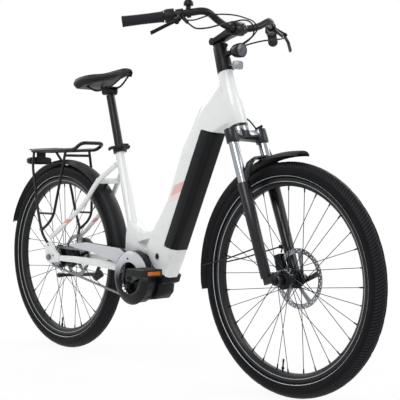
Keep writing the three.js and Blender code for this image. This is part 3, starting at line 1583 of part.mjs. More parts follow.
// Fork upper: steerer, crown and the two stanchions, pressed into one unit
const legAhead = forkRake - forkLegSetback;
const legSide = forkLegSpacing / 2;
const crownTop = -headTubeLength - crownDrop;
const crownRingShares = [-1, -0.7, -0.35, 0, 0.35, 0.7, 1];
function forkUpper() {
  const steerTop = spacerHeight * 0.93;
  const pieces = [bar(onSteer(0, crownTop), onSteer(0, steerTop), steererRadius, steererRadius, 12)];
  const crownBase = onSteer(0, crownTop - crownHeight * 0.5);
  const seat = onSteer(0, -headTubeLength - runningGap);
  pieces.push(bar(crownBase, seat, headTubeBottomRadius * 0.86, headTubeBottomRadius * 0.96, 16));
  const rings = crownRingShares.map((share) => {
    const middle = 1 - share * share;
    const place = onSteer(
      legAhead * (1 - middle),
      crownTop - crownHeight * (0.5 - middle * 0.22),
      share * legSide,
    );
    const half = crownHeight * (0.46 - middle * 0.1);
    return ring(
      place,
      onSteer(1, 0).sub(onSteer(0, 0)),
      onSteer(0, 1).sub(onSteer(0, 0)),
      crownSocketRadius * 0.95,
      half,
      8,
      0.7,
    );
  });
  pieces.push(loft(rings));
  for (const side of [-1, 1]) {
    const low = onSteer(legAhead, crownTop - crownHeight, side * legSide);
    const high = onSteer(legAhead, crownTop, side * legSide);
    pieces.push(bar(low, high, crownSocketRadius, crownSocketRadius, 12));
    const end = onSteer(legAhead, crownTop - crownHeight - stanchionLength, side * legSide);
    pieces.push(bar(end, low, stanchionRadius, stanchionRadius, 12));
  }
  return join(pieces);
}
add(bicycle, 'fork_upper', forkUpper(), finishes.chrome);

const steerUp = onSteer(0, 1).sub(onSteer(0, 0));

// Lower legs with the arch between them, sliding on the stanchions
const legTop = crownTop - crownHeight - stanchionExposed;
const legFootRise = 17;
const legFoot = axleAlong + legFootRise;
const archShares = [
  [0.11, -1, -0.19],
  [0.38, -0.98, 0.2],
  [0.59, -0.87, 0.57],
  [0.63, -0.6, 0.72],
  [0.64, 0, 0.77],
];
const forkTipRadius = 15;
function forkLowers() {
  const pieces = [];
  const boreRadius = boreFor(stanchionRadius, seatGap, 12);
  const boreEnd = crownTop - crownHeight - stanchionLength - forkTravel - runningGap;
  const cuts = [];
  for (const side of [-1, 1]) {
    const knee = legTop - (legTop - legFoot) * 0.3;
    pieces.push(bar(
      onSteer(legAhead, knee, side * legSide),
      onSteer(legAhead, legTop, side * legSide),
      legTopRadius * 0.93,
      legTopRadius,
      12,
    ));
    pieces.push(bar(
      onSteer(legAhead, legFoot, side * legSide),
      onSteer(legAhead, knee, side * legSide),
      legBottomRadius,
      legTopRadius * 0.93,
      12,
    ));
    const tip = new THREE.CylinderGeometry(forkTipRadius, forkTipRadius, forkDropoutWall, 12);
    const tipSide = side * (frontHubWidth / 2 + forkDropoutWall / 2);
    pieces.push(tip.translate(frontAxle.x, tipSide, frontAxle.z));
    const web = new THREE.BoxGeometry(forkRake, forkDropoutWall, forkTipRadius * 1.8);
    const webSpot = onSteer(forkRake - forkLegSetback * 0.7, axleAlong + forkTipRadius * 0.8);
    web.rotateY(-steerTilt).translate(webSpot.x, tipSide, webSpot.z);
    pieces.push(web);
    cuts.push(bar(
      onSteer(legAhead, boreEnd, side * legSide),
      onSteer(legAhead, legTop + overrun, side * legSide),
      boreRadius,
      boreRadius,
      12,
    ));
    const clear = boreFor(stanchionRadius, runningGap, 12);
    cuts.push(bar(
      onSteer(legAhead, legTop, side * legSide),
      onSteer(legAhead, legTop + legTopRadius * 6, side * legSide),
      clear,
      clear,
      12,
    ));
  }
  const half = archShares.map(([ahead, out, up]) => onSteer(
    ahead * forkLegSpacing * 0.77,
    legTop + up * legTopRadius * 4.4,
    out * legSide,
  ));
  const other = half.slice(0, -1).map((spot) => spot.clone().setY(-spot.y)).reverse();
  const spots = [...half, ...other];
  const rings = spots.map((spot, i) => {
    const before = spots[Math.max(i - 1, 0)];
    const after = spots[Math.min(i + 1, spots.length - 1)];
    const along = after.clone().sub(before).normalize();
    const ahead = onSteer(1, 0).sub(onSteer(0, 0));
    const across = ahead.clone().addScaledVector(along, -ahead.dot(along)).normalize();
    return ring(spot, across, along.clone().cross(across), archDepth / 2, archThickness / 2, 8, 0.6);
  });
  pieces.push(loft(rings));
  const axleBore = boreFor(frontAxleRadius, seatGap, 12);
  const reach = frontHubWidth;
  cuts.push(bar(
    vec(frontAxle.x, -reach, frontAxle.z),
    vec(frontAxle.x, reach, frontAxle.z),
    axleBore,
    axleBore,
    12,
  ));
  const hubClear = frontHubWidth / 2;
  cuts.push(bar(
    vec(frontAxle.x, -hubClear, frontAxle.z),
    vec(frontAxle.x, hubClear, frontAxle.z),
    hubEndRadius + runningGap,
    hubEndRadius + runningGap,
    12,
  ));
  return cuts.reduce((whole, cut) => whole.subtract(solid(cut)), join(pieces));
}
add(bicycle, 'fork_lowers', forkLowers(), finishes.glossBlack);

// Front mudguard with a block up to the arch and a stay to each leg
const frontGuardRear = 189;
const frontGuardTip = 81;
const frontGuardSteps = 10;
const stayShares = [
  [-0.963, 0.078, 0.05],
  [-0.62, 0.112, 0.13],
  [-0.242, 0.152, 0.243],
];
const stayThickness = 3;
const stayEyelet = 6;
function frontMudguard() {
  const pieces = [mudguard(frontAxle, frontGuardRear, frontGuardTip, frontGuardSteps)];
  const archUnder = legTop + archShares[4][2] * legTopRadius * 4.4 - archThickness / 2 - seatGap;
  const block = onSteer(forkRake, archUnder);
  const turn = block.clone().sub(frontAxle);
  const root = frontAxle.clone().addScaledVector(
    turn.clone().normalize(),
    mudguardRadius - mudguardWall * 1.5,
  );
  pieces.push(bar(root, block, guardMountRadius, guardMountRadius, 8));
  for (const side of [-1, 1]) {
    const spots = spotsFrom(frontAxle, mudguardRadius, stayShares, side);
    pieces.push(bentBar(rounded(spots, stayEyelet, 1), stayThickness, 6));
    const eye = spots[2].clone();
    pieces.push(bar(
      eye.clone().setY(eye.y - stayThickness),
      eye.clone().setY(eye.y + stayThickness),
      stayEyelet,
      stayEyelet,
      10,
    ));
  }
  return join(pieces);
}
add(bicycle, 'front_mudguard', frontMudguard(), finishes.satinBlack);

// Brake calipers astride the discs
const caliperThroat = 1.6;
function caliper({ axlePlace, radius, offset, centre, length, height, inner, outer, turn }) {
  const block = new THREE.BoxGeometry(length, outer - inner, height);
  block.rotateY(turn).translate(centre.x, (inner + outer) / 2, centre.z);
  const reach = radius + runningGap;
  const slot = bar(vec(0, offset - caliperThroat, 0), vec(0, offset + caliperThroat, 0), reach, reach, 32);
  return solid(block).subtract(solid(slot.translate(axlePlace.x, 0, axlePlace.z)));
}
const frontCaliperBehind = 5;
const frontCaliperRise = 66;
const frontCaliper = {
  axlePlace: frontAxle,
  radius: frontRotorRadius,
  offset: frontRotorOffset,
  centre: onSteer(-frontCaliperBehind, axleAlong + frontCaliperRise),
  length: 24,
  height: 48,
  inner: 29,
  outer: 53,
  turn: -steerTilt,
};
add(bicycle, 'front_brake_caliper', caliper(frontCaliper), finishes.satinBlack);
const rearCaliperAhead = 66;
const rearCaliperRise = 45;
const rearCaliper = {
  axlePlace: rearAxle,
  radius: rearRotorRadius,
  offset: rearRotorOffset,
  centre: vec(rearAxle.x + rearCaliperAhead, 0, rearAxle.z + rearCaliperRise),
  length: 44,
  height: 30,
  inner: 40,
  outer: 66,
  turn: 0.5,
};
add(bicycle, 'rear_brake_caliper', caliper(rearCaliper), finishes.satinBlack);

// Spacer with the lamp bracket, stem base and stem arm
const lampPivotAhead = 39;
const lampPivotUp = 50;
const lampEarRadius = 6;
const lampEarHalf = 9;
const spacerTop = spacerHeight;
function stemSpacer() {
  const bore = boreFor(steererRadius, seatGap, 20);
  const sleeve = turned(
    [
      [bore, seatGap],
      [spacerBottomRadius, seatGap],
      [spacerBottomRadius * 0.93, spacerTop * 0.4],
      [spacerTopRadius, spacerTop],
      [bore, spacerTop],
    ],
    20,
  );
  const pieces = [aimed(sleeve, headTop, steerUp)];
  for (const side of [-1, 1]) {
    const inner = (side * lampEarHalf) / 2 + side * seatGap;
    const outer = side * lampEarHalf;
    const eye = bar(vec(0, inner, 0), vec(0, outer, 0), lampEarRadius, lampEarRadius, 10);
    const place = onSteer(lampPivotAhead, lampPivotUp);
    pieces.push(eye.translate(place.x, 0, place.z));
    const web = new THREE.BoxGeometry(
      lampPivotAhead - steererRadius * 1.1,
      Math.abs(outer - inner),
      lampEarRadius * 1.6,
    );
    const middle = onSteer((lampPivotAhead + steererRadius * 1.1) / 2, lampPivotUp);
    pieces.push(web.rotateY(-steerTilt).translate(middle.x, (inner + outer) / 2, middle.z));
  }
  return join(pieces);
}
add(bicycle, 'stem_spacer', stemSpacer(), finishes.satinBlack);

const stemPivot = onSteer(-stemPivotSetback, spacerTop + stemPivotHeight);
const barCentre = onSteer(stemLength - stemPivotSetback, spacerTop + stemPivotHeight);
const tongueRadius = 11;
const tongueHalf = 8;
const pinRadius = 5;
const cheekRadius = 12;
function stemBase() {
  const baseTop = spacerTop + stemPivotHeight - cheekRadius - runningGap * 2;
  const disc = bar(
    onSteer(0, spacerTop + seatGap),
    onSteer(0, baseTop),
    spacerTopRadius * 0.9,
    spacerTopRadius * 0.9,
    20,
  );
  const tongue = bar(vec(0, -tongueHalf, 0), vec(0, tongueHalf, 0), tongueRadius, tongueRadius, 16);
  const web = new THREE.BoxGeometry(tongueRadius * 1.8, tongueHalf * 2, stemPivotHeight * 0.9);
  const webPlace = onSteer(-stemPivotSetback, spacerTop + stemPivotHeight * 0.55);
  const pinReach = stemWidth / 2 + seatGap;
  const pin = bar(vec(0, -pinReach, 0), vec(0, pinReach, 0), pinRadius, pinRadius, 12);
  const steerTop = spacerHeight * 0.93 + seatGap;
  return join(
    disc,
    tongue.translate(stemPivot.x, 0, stemPivot.z),
    web.rotateY(-steerTilt).translate(webPlace.x, 0, webPlace.z),
    pin.translate(stemPivot.x, 0, stemPivot.z),
    bar(
      onSteer(0, steerTop),
      onSteer(0, spacerTop + seatGap * 2),
      steererRadius * 0.9,
      steererRadius * 0.9,
      16,
    ),
  );
}
add(bicycle, 'stem_base', stemBase(), finishes.satinBlack);

const clampRadius = 22;
function stemArm() {
  const half = stemWidth / 2;
  const along = barCentre.clone().sub(stemPivot).normalize();
  const up = sideways.clone().cross(along).negate();
  const span = stemPivot.distanceTo(barCentre);
  const ringAt = (share, high) => ring(
    stemPivot.clone().addScaledVector(along, share * span),
    sideways,
    up,
    half,
    high,
    8,
    0.5,
  );
  const cross = (place, radius) => bar(
    vec(place.x, -half, place.z),
    vec(place.x, half, place.z),
    radius,
    radius,
    16,
  );
  const body = join(
    loft([
      ringAt(0.02, cheekRadius * 0.95),
      ringAt(0.5, cheekRadius * 1.05),
      ringAt(0.9, clampRadius * 0.8),
    ]),
    cross(stemPivot, cheekRadius),
    cross(barCentre, clampRadius),
  );
  const slotHalf = tongueHalf + seatGap;
  const slotRadius = tongueRadius + runningGap;
  const slot = bar(vec(0, -slotHalf, 0), vec(0, slotHalf, 0), slotRadius, slotRadius, 12).translate(
    stemPivot.x,
    0,
    stemPivot.z,
  );
  const below = new THREE.BoxGeometry(slotRadius * 2.6, slotHalf * 2, cheekRadius * 2);
  const belowPlace = onSteer(
    -stemPivotSetback - slotRadius * 0.3,
    spacerTop + stemPivotHeight - cheekRadius,
  );
  const pinBore = boreFor(pinRadius, seatGap, 12);
  const barBore = boreFor(barClampRadius, seatGap, 16);
  const through = (place, radius, sides) =>
    bar(
      vec(place.x, -half - overrun, place.z),
      vec(place.x, half + overrun, place.z),
      radius,
      radius,
      sides,
    );
  return body
    .subtract(solid(slot))
    .subtract(solid(below.rotateY(-steerTilt).translate(belowPlace.x, 0, belowPlace.z)))
    .subtract(solid(through(stemPivot, pinBore, 12)))
    .subtract(solid(through(barCentre, barBore, 16)));
}
add(bicycle, 'stem_arm', stemArm(), finishes.satinBlack);

// Handlebar: swept back, with the same bends on both sides
const barReach = 320;
const barShares = [
  [0, 0, 0],
  [0, 0.12, 0.006],
  [0.03, 0.27, 0.04],
  [0.035, 0.43, 0.125],
  [-0.228, 0.725, 0.0625],
  [-0.478, 1.01, 0.016],
];
const barBend = 34;
function handlebar() {
  const left = spotsFrom(barCentre, barReach, barShares, 1);
  const right = spotsFrom(barCentre, barReach, barShares, -1);
  const line = rounded([...right.slice(1).reverse(), ...left.slice(1)], barBend, 2);
  const sleeve = stemWidth / 2 + overrun;
  const thick = bar(
    vec(barCentre.x, -sleeve, barCentre.z),
    vec(barCentre.x, sleeve, barCentre.z),
    barClampRadius,
    barClampRadius,
    16,
  );
  return join(bentBar(line, barRadius, 8), thick);
}
add(bicycle, 'handlebar', handlebar(), finishes.satinBlack);

// Places on the straight end of the bar, measured inwards from the start of the grip.
function onBar(side, inwards, ahead = 0, up = 0) {
  const [, , , bend, start] = spotsFrom(barCentre, barReach, barShares, side);
  const along = bend.clone().sub(start).normalize();
  const forward = vec(-side * along.y, side * along.x, 0).normalize().multiplyScalar(-1);
  return start.clone().addScaledVector(along, inwards).addScaledVector(forward, -ahead).add(vec(0, 0, up));
}
const barBore = boreFor(barRadius, seatGap, 12);
const gripEndWall = 3;
const gripFlareShares = [[0, 1.12], [0.25, 1], [0.7, 0.94], [1, 1.06]];
for (const [side, name] of [[1, 'grip_left'], [-1, 'grip_right']]) {
  const [, , , , start, end] = spotsFrom(barCentre, barReach, barShares, side);
  const outward = end.clone().sub(start);
  const length = outward.length() + gripEndWall;
  const sleeve = gripFlareShares.map(([share, wide]) => [wide * gripRadius, share * length]);
  const profile = [
    [barBore, 0],
    ...sleeve,
    [0, length],
    [0, length - gripEndWall + seatGap],
    [barBore, length - gripEndWall + seatGap],
  ];
  add(bicycle, name, aimed(turned(profile, 16), start, outward), finishes.rubber);
}

const shifterStart = onBar(-1, runningGap);
const shifterAlong = onBar(-1, shifterLength).sub(onBar(-1, 0));
const shifterProfile = [
  [barBore, 0],
  [shifterRadius, 0],
  [shifterRadius * 1.12, shifterLength * 0.3],
  [shifterRadius * 1.05, shifterLength - runningGap * 2],
  [barBore, shifterLength - runningGap * 2],
];
add(
  bicycle,
  'twist_shifter',
  aimed(turned(shifterProfile, 20), shifterStart, shifterAlong),
  finishes.satinBlack,
);

// Brake lever clamps, each with an arm out to the lever's pivot, and the levers
const leverClampPlace = 48;
const leverClampRadius = 16;
const leverPivotShares = [-0.05, 0.725, 0.006];
const leverTipShares = [-0.16, 0.94, -0.119];
const leverKneeShares = [-0.085, 0.82, -0.045];
const leverHoseShares = [0.0125, 0.64, -0.015];
const leverBossRadius = 7;
const leverBossHalf = 5;
const leverForkWall = 4;
const leverPlaces = {};
for (const [side, word] of [[1, 'left'], [-1, 'right']]) {
  const [pivot, tip, knee] = spotsFrom(
    barCentre,
    barReach,
    [leverPivotShares, leverTipShares, leverKneeShares],
    side,
  );
  const blade = tip.clone().sub(pivot).normalize();
  const towardsGrip = onBar(side, -gripLength * 0.7).sub(tip);
  const axis = blade.clone().cross(towardsGrip).normalize();
  leverPlaces[word] = { pivot, tip, axis };
  const low = onBar(side, leverClampPlace - leverClampLength / 2);
  const high = onBar(side, leverClampPlace + leverClampLength / 2);
  const clamp = solid(bar(low, high, leverClampRadius, leverClampRadius, 12));
  const reach = leverBossHalf + leverForkWall;
  const boss = bar(
    pivot.clone().addScaledVector(axis, -reach),
    pivot.clone().addScaledVector(axis, reach),
    leverBossRadius,
    leverBossRadius,
    8,
  );
  const anchor = onBar(side, leverClampPlace).lerp(pivot, 0.3);
  const root = pivot.clone().addScaledVector(blade, -leverBossRadius);
  const arm = bar(anchor, root, leverBossRadius * 1.4, leverBossRadius * 1.1, 8);
  const centre = onBar(side, leverClampPlace);
  const hoseStart = spotsFrom(barCentre, barReach, [leverHoseShares], side)[0];
  const portEnd = hoseStart.clone().addScaledVector(centre.clone().sub(hoseStart).normalize(), hoseRadius);
  const port = bar(centre.clone().lerp(portEnd, 0.2), portEnd, hoseRadius * 2.6, hoseRadius * 2, 6);
  const slotHalf = leverBossHalf + seatGap;
  const clear = leverBossRadius * 1.5;
  const slot = bar(
    pivot.clone().addScaledVector(axis, -slotHalf),
    pivot.clone().addScaledVector(axis, slotHalf),
    clear,
    clear,
    10,
  );
  const bore = bar(low.clone().lerp(high, -0.3), low.clone().lerp(high, 1.3), barBore, barBore, 12);
  add(
    bicycle,
    'lever_clamp_' + word,
    join(clamp, arm, boss, port).subtract(solid(slot)).subtract(solid(bore)),
    finishes.satinBlack,
  );
  const across = axis.clone();
  const rings = [pivot, knee, tip].map((place, i, all) => {
    const ahead = all[Math.min(i + 1, 2)].clone().sub(all[Math.max(i - 1, 0)]).normalize();
    const thick = ahead.clone().cross(across).normalize();
    return ring(
      place,
      across,
      thick,
      leverBossHalf * [0.9, 1.05, 1.2][i],
      leverBossRadius * [0.8, 0.5, 0.45][i],
      8,
      0.6,
    );
  });
  const hub = bar(
    pivot.clone().addScaledVector(axis, -leverBossHalf),
    pivot.clone().addScaledVector(axis, leverBossHalf),
    leverBossRadius,
    leverBossRadius,
    8,
  );
  add(bicycle, 'brake_lever_' + word, join(hub, loft(rings)), finishes.satinBlack);
}

// Control pod beside the left grip, and the bell on the right
const podPlace = 18;
const podRadius = 15;
const podLength = 20;
const podReach = 28;
function controlPod() {
  const low = onBar(1, podPlace - podLength / 2);
  const high = onBar(1, podPlace + podLength / 2);
  const bore = bar(low.clone().lerp(high, -0.4), low.clone().lerp(high, 1.4), barBore, barBore, 12);
  const up = vec(0, 0, 1);
  const along = high.clone().sub(low).normalize();
  const across = along.clone().cross(up).normalize();
  const shift = across.clone().multiplyScalar(podRadius * 0.2).add(vec(0, 0, podReach * 0.1));
  const rings = [low.clone().lerp(high, 0.1), high.clone().lerp(low, 0.1)].map((place) => ring(
    place.clone().add(shift),
    across,
    up,
    podRadius * 1.2,
    podRadius,
    8,
    0.6,
  ));
  return join(bar(low, high, podRadius, podRadius, 12), loft(rings)).subtract(solid(bore));
}
add(bicycle, 'control_pod', controlPod(), finishes.satinBlack);

const bellPlace = 74;
const bellRadius = 15;
const bellHeight = 20;
const bellPost = 8;
function bellClamp() {
  const low = onBar(-1, bellPlace - bellRadius * 0.4);
  const high = onBar(-1, bellPlace + bellRadius * 0.4);
  const foot = onBar(-1, bellPlace, 0, barRadius * 1.15);
  const bore = bar(low.clone().lerp(high, -0.4), low.clone().lerp(high, 1.4), barBore, barBore, 12);
  const post = bar(foot, foot.clone().add(vec(0, 0, bellPost)), bellRadius * 0.5, bellRadius * 0.5, 10);
  const radius = leverClampRadius * 0.95;
  return join(bar(low, high, radius, radius, 12), post).subtract(solid(bore));
}
add(bicycle, 'bell_clamp', bellClamp(), finishes.satinBlack);
const bellShares = [[0, 0], [1, 0], [1, 0.45], [0.75, 0.8], [0, 1]];
const bellDome = turned(bellShares.map(([wide, high]) => [wide * bellRadius, high * bellHeight]), 12);
const bellFoot = onBar(-1, bellPlace, 0, barRadius * 1.15 + bellPost + seatGap);
add(bicycle, 'bell_dome', aimed(bellDome, bellFoot, vec(0, 0, 1)), finishes.satinBlack);

// Headlamp on the spacer's bracket, with its lens, and the front reflector below it
const headlampRadius = 22.5;
const headlampLength = 42;
const headlampLift = 3;
const lensRecess = 4;
const lampPivot = onSteer(lampPivotAhead, lampPivotUp);
const lampStart = lampPivot.x + lampEarRadius * 1.4;
const lampAxisHeight = lampPivot.z + headlampLift;
function headlampHousing() {
  const front = headlampLength;
  const profile = [
    [0, 0],
    [headlampRadius * 0.55, 0],
    [headlampRadius * 0.9, front * 0.35],
    [headlampRadius, front * 0.7],
    [headlampRadius, front],
    [headlampRadius - gripEndWall, front],
    [headlampRadius - gripEndWall, front - lensRecess],
    [0, front - lensRecess],
  ];
  const shell = aimed(turned(profile, 20), vec(lampStart, 0, lampAxisHeight), vec(1, 0, 0));
  const earHalf = lampEarHalf / 2;
  const ear = bar(vec(0, -earHalf, 0), vec(0, earHalf, 0), lampEarRadius, lampEarRadius, 10).translate(
    lampPivot.x,
    0,
    lampPivot.z,
  );
  const neck = new THREE.BoxGeometry(lampEarRadius * 3, earHalf * 2, lampEarRadius * 1.4).translate(
    lampPivot.x + lampEarRadius * 1.5,
    0,
    lampPivot.z,
  );
  return join(shell, ear, neck);
}
add(bicycle, 'headlamp_housing', headlampHousing(), finishes.satinBlack);
const lens = turned(
  [
    [0, seatGap],
    [headlampRadius - gripEndWall - seatGap, seatGap],
    [headlampRadius - gripEndWall - seatGap, lensRecess],
    [headlampRadius * 0.5, lensRecess * 1.4],
    [0, lensRecess * 1.5],
  ],
  20,
);
add(
  bicycle,
  'headlamp_lens',
  aimed(lens, vec(lampStart + headlampLength - lensRecess, 0, lampAxisHeight), vec(1, 0, 0)),
  finishes.clearLens,
);

const reflectorAhead = 52;
const reflectorUp = 2;
const reflectorWidth = 41;
const reflectorHeight = 27;
const reflectorDepth = 8;
function frontReflector() {
  const centre = onSteer(reflectorAhead, reflectorUp);
  const plate = [0, reflectorDepth].map((x) => ring(
    vec(centre.x + x, 0, centre.z),
    sideways,
    vec(0, 0, 1),
    reflectorWidth / 2,
    reflectorHeight / 2,
    12,
    0.5,
  ));
  const start = onSteer(spacerBottomRadius + seatGap * 3, reflectorUp * 4);
  const arm = new THREE.BoxGeometry(reflectorAhead, reflectorHeight * 0.5, gripEndWall);
  arm.translate(centre.x + gripEndWall - reflectorAhead / 2, 0, start.z + gripEndWall);
  const low = spacerBottomRadius + seatGap;
  const high = spacerBottomRadius * 0.93 + seatGap;
  const clear = bar(onSteer(0, 0), onSteer(0, spacerTop * 0.4), low, high, 20);
  return join(loft(plate), solid(arm).subtract(solid(clear)));
}
add(bicycle, 'front_reflector', frontReflector(), finishes.clearLens);

// Lockout knob on top of the left leg
const knobRadius = 12;
const knobHeight = 9;
const knobLow = onSteer(legAhead, crownTop + seatGap, legSide);
const knob = join(
  bar(knobLow, knobLow.clone().addScaledVector(steerUp, knobHeight), knobRadius, knobRadius * 0.9, 16),
  new THREE.BoxGeometry(knobRadius * 2.6, knobHeight * 0.5, knobHeight * 0.8).rotateY(-steerTilt).translate(
    onSteer(legAhead, crownTop + knobHeight).x,
    legSide,
    onSteer(legAhead, crownTop + knobHeight).z,
  ),
);
add(bicycle, 'lockout_knob', knob, finishes.satinBlack);

// Front brake hose, from its port low on the head tube to the calliper
const frontHosePlaces = [
  [357, 30.5, 830],
  [361, 45, 822],
  [364, 66, 803],
  [372, 84, 778],
  [394, 92, 742],
  [424, 91, 690],
  [449, 83.4, 590],
  [462, 80, 500],
  [477, 74, 440],
  [488, 56, 418],
];
// Both hoses and the shift cable loop from the bar into one grommet on the spacer
const rightHosePlaces = [
  [356, -205, 1098],
  [385, -200, 1080],
  [400, -170, 1082],
  [400, -120, 1096],
  [397, -60, 1112],
  [395, -10, 1123],
  [388, 25, 1120],
  [378, 48, 1106],
  [366, 56, 1086],
  [345, 42, 1066],
  [322, 22, 1050],
  [310, 15.5, 1045.5],
];
const leftHosePlaces = [
  [356, 205, 1098],
  [378, 175, 1086],
  [382, 130, 1078],
  [374, 85, 1070],
  [350, 48, 1058],
  [325, 22, 1046],
  [310, 15.5, 1043.5],
];
const shiftCablePlaces = [
  [322, -188, 1112],
  [346, -170, 1112],
  [374, -142, 1124],
  [388, -110, 1130],
  [396, -54, 1133],
  [392, 0, 1130],
  [383, 44, 1124],
  [376, 66, 1106],
  [352, 52, 1072],
  [326, 28, 1050],
  [310, 17, 1046.5],
];
const cableRadius = 2.2;
const hoseSteps = 13;
function hose(places, radius, steps) {
  const curve = new THREE.CatmullRomCurve3(places.map(([x, y, z]) => vec(x, y, z)), false, 'centripetal');
  return bentBar(curve.getPoints(steps), radius, 5);
}
add(bicycle, 'front_brake_hose', hose(frontHosePlaces, hoseRadius, hoseSteps), finishes.rubber);

const grommetUp = 66;
const grommetTurn = 30 * degrees;
const grommetRadius = 7;
const grommetLength = 10;
function barHoses() {
  const reach = spacerBottomRadius * 0.93;
  const out = onSteer(Math.cos(grommetTurn), 0, Math.sin(grommetTurn)).sub(onSteer(0, 0));
  const base = onSteer(0, grommetUp);
  const far = base.clone().addScaledVector(out, reach + grommetLength);
  const cone = bar(
    base.clone().addScaledVector(out, steererRadius),
    far,
    grommetRadius,
    grommetRadius * 0.8,
    10,
  );
  const clearLow = spacerBottomRadius * 0.93 + seatGap;
  const clearHigh = spacerTopRadius + seatGap;
  const clear = bar(onSteer(0, spacerTop * 0.4), onSteer(0, spacerTop), clearLow, clearHigh, 20);
  const low = onBar(-1, leverClampPlace - leverClampLength / 2 - seatGap);
  const high = onBar(-1, leverClampPlace + leverClampLength / 2 + seatGap);
  const clamp = bar(low, high, leverClampRadius + seatGap, leverClampRadius + seatGap, 12);
  return join(
    solid(cone).subtract(solid(clear)),
    hose(rightHosePlaces, hoseRadius, hoseSteps),
    hose(leftHosePlaces, hoseRadius, hoseSteps - 4),
    solid(hose(shiftCablePlaces, cableRadius, hoseSteps)).subtract(solid(clamp)),
  );
}
add(bicycle, 'bar_hoses', barHoses(), finishes.rubber);

export default bicycle;
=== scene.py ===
from math import acos, atan2, copysign, cos, exp, hypot, pi, radians, sin

import bmesh
import bpy
from mathutils import Matrix, Vector


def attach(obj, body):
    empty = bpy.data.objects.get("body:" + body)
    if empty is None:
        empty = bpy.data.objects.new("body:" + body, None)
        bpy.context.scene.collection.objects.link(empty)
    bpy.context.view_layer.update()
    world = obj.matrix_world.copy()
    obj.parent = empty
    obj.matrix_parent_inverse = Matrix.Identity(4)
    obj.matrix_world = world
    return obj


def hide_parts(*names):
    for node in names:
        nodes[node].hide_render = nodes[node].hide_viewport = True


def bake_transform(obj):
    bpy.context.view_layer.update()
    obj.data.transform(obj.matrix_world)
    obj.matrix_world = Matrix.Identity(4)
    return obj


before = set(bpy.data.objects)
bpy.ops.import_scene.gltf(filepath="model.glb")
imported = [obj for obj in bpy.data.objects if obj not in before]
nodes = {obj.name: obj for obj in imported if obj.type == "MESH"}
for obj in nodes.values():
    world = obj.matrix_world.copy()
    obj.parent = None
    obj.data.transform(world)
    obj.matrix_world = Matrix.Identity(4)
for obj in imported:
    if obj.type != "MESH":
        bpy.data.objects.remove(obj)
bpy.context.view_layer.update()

# A step-through bicycle with a mid motor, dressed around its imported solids.
# Shapes are drawn in millimetres and scaled to metres when a mesh is made.
scene = bpy.context.scene
metre = 0.001


# Camera, floor and light

camera = {
    "place": (2.488, -2.098, 0.647),
    "yaw": 2.403,
    "pitch": -0.024,
    "lens": 87.12,
    "sensor": 36.0,
}
cameraData = bpy.data.cameras.new("camera")
cameraData.lens = camera["lens"]
cameraData.sensor_width = camera["sensor"]
cameraData.clip_end = 200
cameraObject = bpy.data.objects.new("camera", cameraData)
scene.collection.objects.link(cameraObject)
lookAlong = Vector((
    cos(camera["yaw"]) * cos(camera["pitch"]),
    sin(camera["yaw"]) * cos(camera["pitch"]),
    sin(camera["pitch"]),
))
cameraObject.location = camera["place"]
cameraObject.rotation_mode = "QUATERNION"
cameraObject.rotation_quaternion = lookAlong.to_track_quat("-Z", "Y")
scene.camera = cameraObject
scene.view_settings.view_transform = "Standard"


def toLinear(code):
    channels = [int(code[i:i + 2], 16) / 255 for i in (1, 3, 5)]
    return tuple(c / 12.92 if c <= 0.04045 else ((c + 0.055) / 1.055) ** 2.4 for c in channels) + (1.0,)


def addNode(tree, kind, settings=None, sockets=None):
    node = tree.nodes.new(kind)
    for key, value in (settings or {}).items():
        setattr(node, key, value)
    for key, value in (sockets or {}).items():
        if isinstance(value, bpy.types.NodeSocket):
            tree.links.new(value, node.inputs[key])
        else:
            node.inputs[key].default_value = value
    return node


def calculate(tree, operation, *values):
    return addNode(tree, "ShaderNodeMath", {"operation": operation}, dict(enumerate(values))).outputs[0]


def mixShaders(tree, share, first, second):
    return addNode(tree, "ShaderNodeMixShader", None, {0: share, 1: first, 2: second}).outputs[0]


def backgroundRays(tree):  # camera, mirror and glass rays see the white backdrop
    rays = addNode(tree, "ShaderNodeLightPath").outputs
    direct = calculate(tree, "MAXIMUM", rays["Is Camera Ray"], rays["Is Glossy Ray"])
    return calculate(tree, "MAXIMUM", direct, rays["Is Transmission Ray"])


stage = {
    "floorHalf": 30,
    "floor": "#f4f4f4",
    "sky": "#f6f7fa",
    "skyLight": 0.6,
    "shadowShare": 0.1,
    "shadowFrom": 0.9,
    "shadowTo": 2.6,
    "white": "#ffffff",
}
world = bpy.data.worlds.new("studio")
scene.world = world
world.use_nodes = True
sky = world.node_tree
sky.nodes.clear()
light = addNode(sky, "ShaderNodeBackground", None,
                {"Color": toLinear(stage["sky"]), "Strength": stage["skyLight"]}).outputs[0]
white = addNode(sky, "ShaderNodeBackground", None,
                {"Color": toLinear(stage["white"]), "Strength": 1.0}).outputs[0]
addNode(sky, "ShaderNodeOutputWorld", None, {"Surface": mixShaders(sky, backgroundRays(sky), light, white)})

